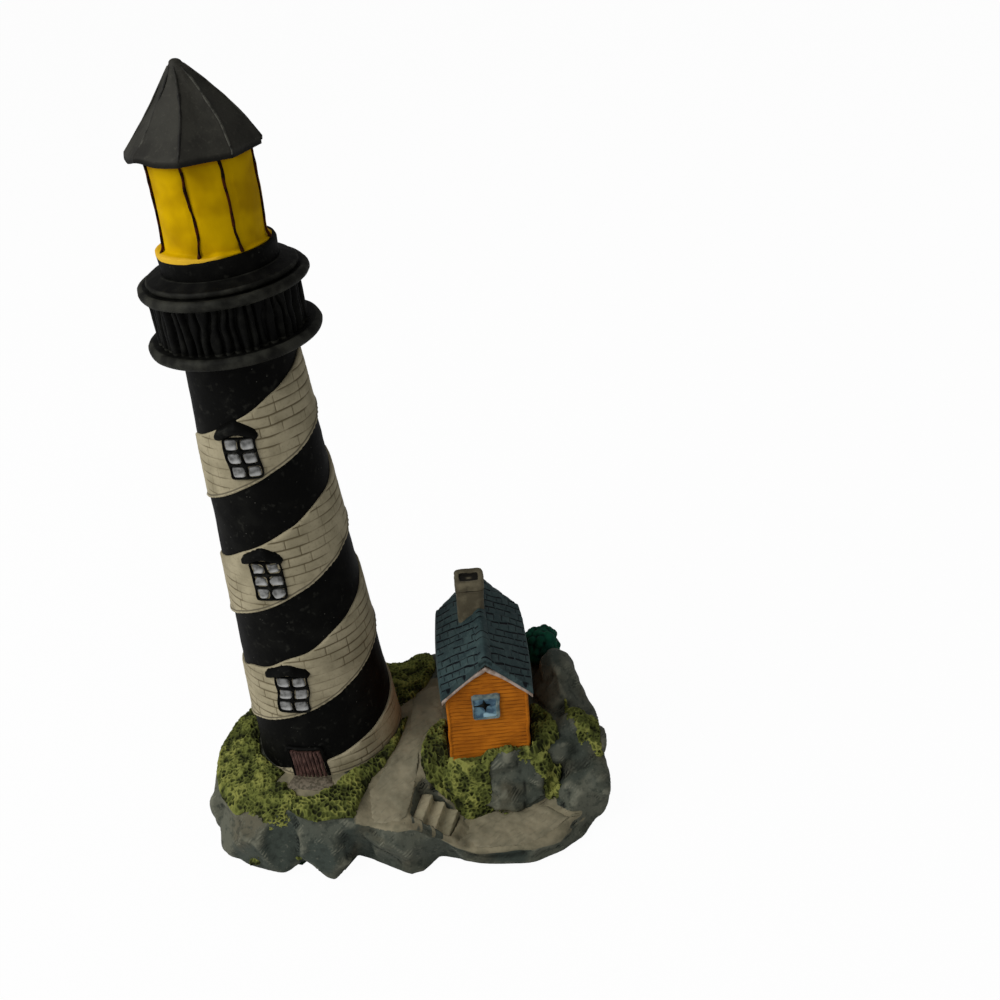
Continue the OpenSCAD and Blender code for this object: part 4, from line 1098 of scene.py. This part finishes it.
def add_bargeboards():
    boards = []
    ring = whole_turn(12)
    s = np.linspace(-1, 1, 61)[:, None]
    x = (COTTAGE_W / 2 + ROOF_OVER - 0.2) * s
    end = ease((np.abs(s) - 0.82) / 0.18)
    soft = 1.3 * np.exp(-(x / 3.4) ** 2)
    for y in (-1.25, COTTAGE_D + 1.25):
        z = roof_under(x) - 0.75 - soft - 0.25 * end + 0.14 * noise(xyz(x, y), 3, 91)
        tall = 1.0 + 0.4 * end * (s < 0) + 0.1 * noise(xyz(x, 0, y), 2, 92)
        boards.append(tube(in_cottage(x, y + 0.75 * np.cos(ring), z + tall * np.sin(ring))))
    piece("bargeboards_form", *joined(boards), TRIM, "trim_paint", ["bargeboards"])


# Rows of shingles: their width along the ridge, how far they slant to the back, one shingle's length
# and how far the eaves bow out
ROW_W, ROW_SKEW, SHINGLE_W, ROOF_BOW = 3.7, 0.5, 3.2, 0.8


def shingle_relief(rows, across, salt):
    """Height of rows of shingles and how deep the slits between them are; rows counts them."""
    row = np.floor(rows)
    f = rows - row
    lap = 0.3 * f - 0.3 * ease((f - 0.88) / 0.12)
    part = across / SHINGLE_W + 0.5 * (row % 2) + 0.3 * noise(xyz(row * 3, across), 4, salt)
    dash = xyz(np.floor(part), row)
    broken = clamp01(hashed(dash, salt + 2) * 3 + 0.1) * ease(np.minimum(part % 1, 1 - part % 1) / 0.14)
    slit = np.exp(-((f - 0.86) * ROW_W / 0.42) ** 2) * broken
    gap = np.minimum(part % 1, 1 - part % 1) * SHINGLE_W
    joint = np.exp(-(gap / 0.24) ** 2) * ease(f / 0.2) * (hashed(dash, salt + 3) > 0.35)
    return lap - 0.55 * slit - 0.2 * joint, np.maximum(slit, 0.4 * joint)


def add_cottage_roof():
    half = COTTAGE_W / 2 + ROOF_OVER
    lift = ROOF_T / math.cos(PITCH)
    slope = half / math.cos(PITCH)
    parts, marks = [], []
    long = COTTAGE_D + 2 * GABLE_OVER
    for side in (-1, 1):
        a, s = grid_of(np.linspace(0, long, 210), np.linspace(0, 1, 110))
        wave = 0.22 * noise(xyz(a, s * 20, side), 6, 101)
        relief, joint = shingle_relief((a - ROW_SKEW * s * slope) / ROW_W + 40 + wave, s * slope, 103 + side)
        near_ridge = ease((s - 0.05) / 0.1)
        relief, joint = relief * near_ridge, joint * near_ridge
        rounded_back = 1 - 0.16 * ease((a - long + 5) / 5) ** 2
        x = side * half * s * (rounded_back + ROOF_BOW / half * np.sin(math.pi * a / long))
        y = a - GABLE_OVER
        hump = 0.3 * noise(xyz(x, y), 9, 105)
        out = relief + 0.06 * rough(xyz(x, y, side), 1.5, 106) + hump
        out = out - 0.7 * ease((s - 0.96) / 0.04) - 0.8 * np.exp(-(s / 0.09) ** 2)
        z = roof_under(half * s) + lift - 0.3 + out * math.cos(PITCH)
        front = in_cottage(x + side * out * math.sin(PITCH) * 0.6, y, z)
        back = in_cottage(x, y, roof_under(half * s))
        if side > 0:
            front, back, joint = front[::-1], back[::-1], joint[::-1]
        parts.append(slab(front, back))
        marks.append(with_back(joint))
    piece("shingle_roof", *joined(parts), SLATE, "slate_paint", ["cottage_roof"],
          {"joint": np.concatenate(marks)})

    # Ridge: one soft rounded fold with slits across it here and there
    y, bend = grid_of(np.linspace(-GABLE_OVER, COTTAGE_D + GABLE_OVER, 200), np.linspace(-1, 1, 17))
    f = (y / ROW_W + 0.3 * noise(xyz(y), 5, 109)) % 1
    x = bend * 2.1
    slit = np.exp(-((f - 0.5) * ROW_W / 0.35) ** 2) * clamp01(noise(xyz(bend * 2, y), 2, 108) + 0.35)
    z = roof_under(0) + lift - 0.25 - 0.8 * math.tan(PITCH) * np.abs(x) ** 1.6 / 1.5 - 0.3 * slit
    z = z + 0.18 * noise(xyz(x, y), 3, 107)
    fold = slab(in_cottage(x, y, z)[:, ::-1], in_cottage(x, y, roof_under(x) + lift - 1.8)[:, ::-1])
    piece("ridge_tiles", *fold, SLATE, "slate_paint", ["ridge_cap"], {"joint": with_back(slit[:, ::-1])})


# Middle of the chimney, its height over the ridge and its cap's
CHIMNEY, CHIMNEY_H, CAP_H = (-2.6, 29.5), 13.4, 4.2


def square_ring(w, n):
    """A square outline with rounded corners."""
    a = whole_turn(n) + math.pi / n
    k = (np.abs(np.cos(a)) ** 6 + np.abs(np.sin(a)) ** 6) ** (-1 / 6)
    return w / 2 * k * np.cos(a), w / 2 * k * np.sin(a)


def chimney_part(name, profile, step, n, node, depth, size, salt, gain):
    """One part of the chimney from heights and widths; its inside is narrower and set forward."""
    rings = []
    for z, w in fine_profile(profile, step):
        x, y = square_ring(w, n)
        deep = clamp01((CHIMNEY_H + 0.1 - z) / 0.3) if w < 6.7 else 0
        y = y * (1 - 0.22 * deep) - 0.3 * deep
        rings.append(in_cottage(CHIMNEY[0] + x, CHIMNEY[1] + y, WALL_H + GABLE_H + z))
    points, faces = tube(np.array(rings))
    points = roughened(points, faces, depth, size, salt)
    piece(name, points, faces, MORTAR, "chimney_paint", [node], dips(points, faces, gain, 2))


def add_chimney():
    low, top = CHIMNEY_H - CAP_H, CHIMNEY_H
    chimney_part("chimney_shaft", [(-6, 9.0), (-1, 8.9), (3, 9.0), (low + 0.3, 9.2)], 0.7, 24, "chimney_stack",
                 0.18, 3, 111, 2)
    profile = [(low, 8.8), (low + 0.15, 9.5), (low + 0.55, 9.6), (low + 0.7, 9.0), (low + 1.0, 9.0),
               (low + 1.15, 9.8), (top - 0.7, 9.7), (top - 0.15, 9.1), (top, 8.2), (top, 6.9), (top - 0.4, 6.3),
               (top - 0.9, 5.9)]
    chimney_part("chimney_top", profile, 0.35, 48, "chimney_cap", 0.16, 2, 112, 2.5)


# Rock, moss and paths

# Points of the paving laid so far, and how far sand spreads from it
PAVED, SAND_REACH = [], 7
# Sizes of the voxels of the rock, moss and bush, and of one cell in the moss's net
ROCK_VOXEL, MOSS_VOXEL, BUSH_VOXEL, MOSS_CELL = 0.75, 0.3, 0.4, 1.4
# Turn from one point of a stone to the next, and the bush's number of lumps
GOLDEN_TURN, BUSH_LUMPS = 2.399963, 150


def hull(points):
    """Convex hull as points and four-cornered faces."""
    mesh = bpy.data.meshes.new("hull")
    mesh.from_pydata(np.asarray(points, float).tolist(), [], [])
    bm = bmesh.new()
    bm.from_mesh(mesh)
    bmesh.ops.convex_hull(bm, input=bm.verts)
    loose = [v for v in bm.verts if not v.link_faces]
    bmesh.ops.delete(bm, geom=loose, context="VERTS")
    bm.verts.index_update()
    points = np.array([v.co[:] for v in bm.verts])
    faces = np.array([[v.index for v in f.verts] + [f.verts[-1].index] for f in bm.faces])[:, :4]
    bm.free()
    bpy.data.meshes.remove(mesh)
    return points, faces


def boulder(at, size, salt, n=26):
    """A rough stone: the hull of points scattered over an ellipsoid."""
    k = np.arange(n)
    up = 1 - 2 * (k + 0.5) / n
    turn = k * GOLDEN_TURN + salt
    grow = 0.84 + 0.3 * hashed(xyz(k, salt), salt)
    ball = xyz(np.sqrt(1 - up ** 2) * np.cos(turn), np.sqrt(1 - up ** 2) * np.sin(turn), up)
    ball = np.sign(ball) * np.abs(ball) ** 0.85 * grow[:, None]
    return hull(np.array(at) + ball * size)


# Places and half sizes of the stones that stand out of the rock
STONES = [
    ((83, -29, 10), (9.5, 8.5, 8.5)), ((88, -17, 13), (5.5, 7, 8)), ((78, -20, 18), (7, 7, 8)),
    ((81, 4, 31), (9, 12, 11)), ((88, -5, 16), (5, 6, 8)), ((88.8, -15.5, 21), (5, 7.5, 6)),
    ((87.6, -30, 11), (6, 7.5, 8.5)),
]
# Corner points of the crags: three wedges along the front, the slab before the cottage, the bank
# under the cottage's front and the shelf at the head of the steps
CRAGS = [
    [(-31, -36, 18), (-25, -40, 14), (-16, -39.3, 16), (-12.5, -37.5, 18), (-31.5, -33.5, 1), (-20.8, -38.8, 1),
     (-17.4, -40.2, 1), (-13.5, -36, 1), (-30, -26, 1), (-13, -26, 1), (-30, -26, 19), (-13, -26, 20)],
    [(-12, -39.5, 18), (-6, -41.2, 18.5), (3, -41.2, 18.5), (-1.5, -44.8, 13), (-12.8, -37.5, 13),
     (6, -43.6, 12), (-2, -45.8, 1), (-0.6, -46.2, 1), (-12, -34.2, 1), (6, -35, 1), (-10, -28, 18),
     (4, -28, 18)],
    [(5, -40.5, 17), (12, -43, 17), (19, -46.5, 16), (6, -35.2, 1), (17, -43, 1), (24, -48.2, 1),
     (29, -47.2, 1), (33, -42.5, 1), (30, -46.3, 13), (8, -30, 17), (30, -32, 12)],
    [(53, -25, 24.5), (70, -25.5, 24.5), (53, -31, 18), (68, -31.5, 18.5), (50.5, -32, 10), (57, -33, 10),
     (66, -33, 10), (71, -31, 11)],
    [(41, -22, 25.5), (56, -22, 25.5), (40, -24.5, 25), (55, -26, 24), (41, -28, 20), (52, -30, 18),
     (43, -31.5, 12.5), (51, -32, 12), (41, -22, 8), (56, -22, 8)],
    [(25, -19, 20.3), (33, -19, 20.8), (37, -22, 20), (25, -27.5, 20.3), (31.5, -29, 18), (37, -27, 17),
     (25, -19, 8), (37, -19, 8), (25, -27.5, 8), (36, -28, 8)],
]
# Plan outlines of the moss that creeps over the rock beyond the moss nodes
MOSS_SKINS = [
    [(38, -19), (40, -22.5), (56, -22.5), (69, -24.5), (74, -24), (76, -29), (72, -29.5), (69, -26.6),
     (57, -25.4), (53.5, -27.5), (52.5, -31.5), (50, -33), (43, -32), (38, -27), (36, -20)],
    [(82, -9), (87, -9), (91, -14), (91, -21), (85, -20), (82, -14)],
    [(-22, -21), (-13, -27), (-11, -30.5), (-8, -33.5), (-14, -36), (-21, -36.5), (-27, -32), (-27, -24)],
]
# Height below which no moss skin hangs over an edge
SKIN_FLOOR = 8.0
FACET_SIZE = 13.0
# The flight of steps as in the CAD: its head, the way down, length, width and levels
STAIR_HEAD, STAIR_TURN = (30.7, -27.1), math.radians(-17)
STAIR_RUN, STAIR_W, STAIR_HIGH, STAIR_LOW = 13.0, 13.6, 20.0, 11.0


def spread_from(plan, reach, step=0.5):
    """A function of points: 1 over the given points, falling to 0 beside them and off their height."""
    low = plan[:, :2].min(0) - reach - 4 * step
    size = np.ceil((plan[:, :2].max(0) + reach + 4 * step - low) / step).astype(int)
    field, height = np.zeros(size), np.zeros(size)
    cell = ((plan[:, :2] - low) / step).astype(int)
    field[cell[:, 0], cell[:, 1]] = 1
    np.maximum.at(height, (cell[:, 0], cell[:, 1]), plan[:, 2])
    rounds = int(reach / step)
    for k in range(rounds):
        for axis, way in itertools.product((0, 1), (-1, 1)):
            near = np.roll(field, way, axis) - (1.0 if k % 2 else 1.4) / rounds / 1.2
            height = np.where(near > field, np.roll(height, way, axis), height)
            field = np.maximum(field, near)

    def share(points):
        spot = np.clip(((points[:, :2] - low) / step).astype(int), 0, size - 1)
        off = np.abs(points[:, 2] - height[spot[:, 0], spot[:, 1]])
        return field[spot[:, 0], spot[:, 1]] * (1 - ease((off - 1.8) / 1.6))

    return share


def stairs_cleared(co):
    """Lowers the rim of the rock that would stand in front of the steps."""
    x, y = co[:, 0] - STAIR_HEAD[0], co[:, 1] - STAIR_HEAD[1]
    along = x * math.cos(STAIR_TURN) + y * math.sin(STAIR_TURN)
    beside = x * -math.sin(STAIR_TURN) + y * math.cos(STAIR_TURN)
    level = mix(STAIR_HIGH, STAIR_LOW, clamp01(along / STAIR_RUN)) + 0.2
    zone = ease((-STAIR_W - beside) / 1.0) * ease((along + 3) / 2) * ease((STAIR_RUN + 5 - along) / 3)
    return np.where(co[:, 2] > level, mix(co[:, 2], level, zone), co[:, 2])


def add_rock():
    parts = [node_mesh("rock_base")] + [boulder(at, size, 3 + k) for k, (at, size) in enumerate(STONES)]
    parts += [hull(points) for points in CRAGS]
    co, quads = voxelled(*joined(parts), ROCK_VOXEL, 6)
    n = normals_of(co, quads)
    steep = ease((0.84 - n[:, 2]) / 0.25)
    squeezed = co * (1, 1, 0.6) + 2.5 * rough(co, 11, 120)[:, None]
    facets = cells(squeezed, FACET_SIZE, 121)[2]
    group = np.unique(np.round(facets, 2), axis=0, return_inverse=True)[1].ravel()
    middle, facing = (np.stack([np.bincount(group, of[:, k]) for k in range(3)], -1) for of in (co, n))
    middle = (middle / np.bincount(group)[:, None])[group]
    facing = (facing / np.maximum(np.linalg.norm(facing, axis=1, keepdims=True), 1e-6))[group]
    off = ((co - middle) * facing).sum(1)
    agree = ease(((n * facing).sum(1) - 0.3) / 0.4)
    low = ease((co[:, 2] - 1.5) / 3)
    flat = averaged(np.clip(-0.95 * off * agree * steep * low, -2.2, 1.8), quads, 1)
    split = np.abs(noise(co * (1, 1, 0.5), 12, 128))
    crack = (1 - ease(split / 0.045)) * ease((noise(co, 16, 129) - 0.08) / 0.1) * steep * low
    chips = -0.25 * ease((rough(co * (1, 1, 0.7), 5, 125) - 0.15) / 0.12) * (0.3 + 0.7 * steep) * low
    sand = spread_from(np.concatenate(PAVED), SAND_REACH)(co) * ease((n[:, 2] - 0.35) / 0.3)
    push = (flat - 0.7 * crack + chips) * (1 - ease(sand / 0.4))
    push = push + 0.1 * rough(co, 3, 126) + 0.45 * ease(sand / 0.5)
    co = evened(co + n * push[:, None], quads, 1)
    fold = averaged(ease((np.abs(hollows(co, quads, 2)) - 0.08) / 0.1), quads, 3)
    co = mix(co, evened(co, quads, 4), ease(2 * fold)[:, None])
    co[:, 2] = stairs_cleared(co)
    dip = averaged(hollows(co, quads, 3), quads, 1)
    facet = averaged(hashed(xyz(group), 127), quads, 2)
    piece("rock_form", co, quads, ROCK, "rock_paint", ["rock_base"],
          {"hollow": clamp01(0.5 + 1.5 * dip), "sand": sand, "crack": crack, "facet": facet}, 180)
    return co, quads


def cushion(name, mesh, nodes, salt, flat=True):
    """Moss: a net of soft broken ridges round small pits, over a smooth shape."""
    co, quads = voxelled(*mesh, MOSS_VOXEL, 3)
    n = normals_of(co, quads)
    wander = co + 0.45 * np.stack([noise(co, MOSS_CELL, salt + k) for k in range(3)], -1)
    near, far, _, number = cells(wander, MOSS_CELL, salt, flat=flat)
    ridge = 1 - ease((far - near) / 0.7)
    clump = rough(co, 3.2, salt + 4)
    broken = clamp01(0.75 + 0.6 * noise(co, 2.2, salt + 6))
    top = ease((n[:, 2] + 0.1) / 0.6)
    rise = 0.4 * ridge * broken - 0.45 * (1 - ridge) * (0.4 + 0.6 * number) + 0.5 * clump
    side = 0.25 if flat else 0.8
    co = co + xyz(side * n[:, 0] * rise, side * n[:, 1] * rise, top * rise)
    # How dark the painted shade in each pit is, from the sunken cells between the ridges
    pit_shade = clamp01(0.3 + 0.75 * (1 - ridge * broken) * (0.3 + 0.7 * number) - 0.35 * clump)
    piece(name, co, quads, MOSS, "moss_paint", nodes, {"hollow": pit_shade}, 180)


def inside_distance(x, y, outline):
    """Distance from the edge of an outline, above 0 inside it."""
    a = np.array(outline, float)
    b = np.roll(a, -1, 0)
    at = np.stack([x, y], -1)[..., None, :]
    along = clamp01(((at - a) * (b - a)).sum(-1) / ((b - a) ** 2).sum(-1))
    reach = np.linalg.norm(at - a - along[..., None] * (b - a), axis=-1).min(-1)
    crosses = (a[:, 1] > y[..., None]) != (b[:, 1] > y[..., None])
    rise = np.where(b[:, 1] == a[:, 1], 1e-9, b[:, 1] - a[:, 1])
    left = x[..., None] < (b[:, 0] - a[:, 0]) * (y[..., None] - a[:, 1]) / rise + a[:, 0]
    return np.where((crosses & left).sum(-1) % 2 == 1, reach, -reach)


def draped(outline, ground, salt, thick=1.5):
    """A skin of moss laid over the rock inside an outline; its edge is ragged."""
    low, high = np.min(outline, 0) - 2, np.max(outline, 0) + 2
    y, x = grid_of(np.arange(low[1], high[1], 0.6), np.arange(low[0], high[0], 0.6))
    ray = [ground.ray_cast(Vector((a, b, 60.0)), Vector((0, 0, -1)))[0] for a, b in zip(x.ravel(), y.ravel())]
    z = np.maximum(np.array([hit.z if hit else 0.0 for hit in ray]).reshape(x.shape), SKIN_FLOOR)
    edge = inside_distance(x, y, outline) + 1.2 * noise(xyz(x, y), 3, salt)
    top, sunk = z + thick * ease((edge + 0.3) / 1.5), z
    for way, axis in itertools.product((-1, 1), (0, 1)):
        top = np.maximum(top, np.roll(top, way, axis) - 0.25)
        sunk = np.minimum(sunk, np.minimum(np.roll(sunk, way, axis), np.roll(sunk, 2 * way, axis)))
    top = np.where(edge < -0.3, sunk - 1.5, top)
    return slab(xyz(x, y, top), xyz(x, y, sunk - 2.4))


def add_moss(ground):
    for k, side in enumerate(("left", "front", "back", "cottage", "right", "rear")):
        node = "moss_" + side
        cushion(node + "_form", node_mesh(node), [node], 200 + 20 * k)
    for k, outline in enumerate(MOSS_SKINS):
        cushion("moss_skin_%d" % (k + 1), draped(outline, ground, 340 + k), [], 350 + 20 * k, False)


def paved(name, node, paint, slot, salt, voxel=0.42, swell=0.25):
    co, quads = voxelled(*node_mesh(node), voxel, 4)
    PAVED.append(co.copy())
    co = roughened(co, quads, swell, 3, salt + 2)
    piece(name, co, quads, paint, slot, [node], dips(co, quads, 2, 2), 180)


def add_paving():
    paved("footpath_form", "footpath", PATH, "paving_paint", 300)
    paved("terrace_form", "terrace", PATH, "paving_paint", 310)
    paved("steps_form", "steps", STAIR, "paving_paint", 320, 0.4, 0.2)
    paved("doorstep_form", "doorstep", DOORSTEP, "doorstep_paint", 330, 0.3, 0.25)


def add_bush():
    low, high = box_mm("bush")
    centre, half = (low + high) / 2, (high - low) / 2
    parts = [node_mesh("bush")]
    ring = whole_turn(8)
    for k in range(BUSH_LUMPS):
        spot = np.array([hashed(xyz(k, j), 400) * 2 - 1 for j in range(3)])
        spot = spot / max(np.linalg.norm(spot), 0.3) * (0.72 + 0.2 * hashed(xyz(k, 9, 0), 401))
        at = centre + spot * half
        size = 1.2 + 0.7 * hashed(xyz(k, 5, 0), 402)
        tilt = np.linspace(-1.4, 1.4, 6)[:, None]
        ball = xyz(np.cos(tilt) * np.cos(ring), np.cos(tilt) * np.sin(ring), np.sin(tilt))
        parts.append(tube(at + size * ball))
    co, quads = voxelled(*joined(parts), BUSH_VOXEL, 1)
    co = np.clip(co, low + (-1, -1, 0), high + 1)
    piece("bush_form", co, quads, BUSH, "bush_paint", ["bush"], dips(co, quads, 1.6, 3), 180)


def paint_cad(node, paint):
    """A CAD node whose own shape is right gets its finish."""
    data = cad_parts[node].data
    data.materials.clear()
    data.materials.append(paint)


# Stage

def add_camera():
    forward = Vector((0.0, math.cos(CAM_PITCH), -math.sin(CAM_PITCH)))
    right0 = Vector((1.0, 0.0, 0.0))
    up0 = right0.cross(forward)
    right = right0 * math.cos(CAM_ROLL) + up0 * math.sin(CAM_ROLL)
    up = up0 * math.cos(CAM_ROLL) - right0 * math.sin(CAM_ROLL)
    data = bpy.data.cameras.new("photo_camera")
    data.lens = CAM_LENS
    data.sensor_width = CAM_SENSOR
    data.clip_start = 0.01
    cam = bpy.data.objects.new("photo_camera", data)
    bpy.context.collection.objects.link(cam)
    cam.matrix_world = Matrix([*zip(right, up, -forward, CAM_AT), (0, 0, 0, 1)])
    bpy.context.scene.camera = cam


def add_floor():
    bpy.ops.mesh.primitive_plane_add(size=FLOOR_SIZE, location=(0, 0, -FLOOR_DROP))
    floor = bpy.context.object
    floor.name = "floor"
    p = Paint("floor_white", 0.9, 0.1)
    p.shader.inputs["Base Color"].default_value = (0.9, 0.9, 0.9, 1)
    seen = p.node("ShaderNodeLightPath", {}, "Is Camera Ray")
    glow = p.node("ShaderNodeEmission", {"Color": (1, 1, 1, 1), "Strength": 1.0})
    both = p.node("ShaderNodeMixShader", {0: p.times(seen, FLOOR_GLOW), 1: p.shader.outputs[0], 2: glow})
    p.tree.links.new(both, p.tree.nodes["Material Output"].inputs["Surface"])
    floor.data.materials.append(p.mat)


def add_light():
    world = bpy.data.worlds.new("studio")
    bpy.context.scene.world = world
    world.use_nodes = True
    tree = world.node_tree
    around = tree.nodes["Background"]
    around.inputs[0].default_value = (1, 1, 1, 1)
    around.inputs[1].default_value = FILL
    white = add_node(tree, "ShaderNodeBackground", {0: (1, 1, 1, 1), 1: 1.0})
    seen = add_node(tree, "ShaderNodeLightPath", {}, "Is Camera Ray")
    both = add_node(tree, "ShaderNodeMixShader", {0: seen, 1: around.outputs[0], 2: white})
    tree.links.new(both, tree.nodes["World Output"].inputs[0])
    key = bpy.data.lights.new("key", "AREA")
    key.energy = KEY_POWER
    key.size = KEY_SIZE
    lamp = bpy.data.objects.new("key", key)
    bpy.context.collection.objects.link(lamp)
    lamp.location = KEY_AIM + KEY_AWAY * Vector((
        math.cos(KEY_TURN) * math.cos(KEY_RISE), math.sin(KEY_TURN) * math.cos(KEY_RISE), math.sin(KEY_RISE)))
    lamp.rotation_euler = (KEY_AIM - lamp.location).to_track_quat("-Z", "Y").to_euler()


ROCK, MOSS, PATH, DOORSTEP = rock_paint(), moss_paint(), path_paint(), doorstep_paint()
# The steps get the path's paint 1.25 times brighter: painted light against the shade they stand in
STAIR = path_paint("stair_paint_with_painted_light", 1.25)
BLACK, RING, BRICK, SILVER, DOOR = black_paint(), ring_paint(), brick_paint(), silver_paint(), door_paint()
ROOF, RIB, LANTERN, BAR = roof_paint(), rib_paint(), lantern_paint(), bar_paint()
SIDING, SLATE, TRIM, MORTAR = siding_paint(), slate_paint(), trim_paint(), mortar_paint()
PALE_BLUE, GLASS, BUSH, FELT = pale_blue_paint(), glass_paint(), bush_paint(), felt_paint()

add_camera()
add_floor()
add_light()
add_shaft()
add_stripe()
add_windows()
add_door()
add_gallery()
add_lantern()
add_lantern_roof()
add_siding()
add_cottage_window()
add_bargeboards()
add_cottage_roof()
add_chimney()
add_paving()
add_moss(BVHTree.FromPolygons(*add_rock()))
add_bush()
paint_cad("cottage_walls", SIDING)
paint_cad("felt_pad", FELT)

bpy.context.scene.view_settings.view_transform = "Standard"
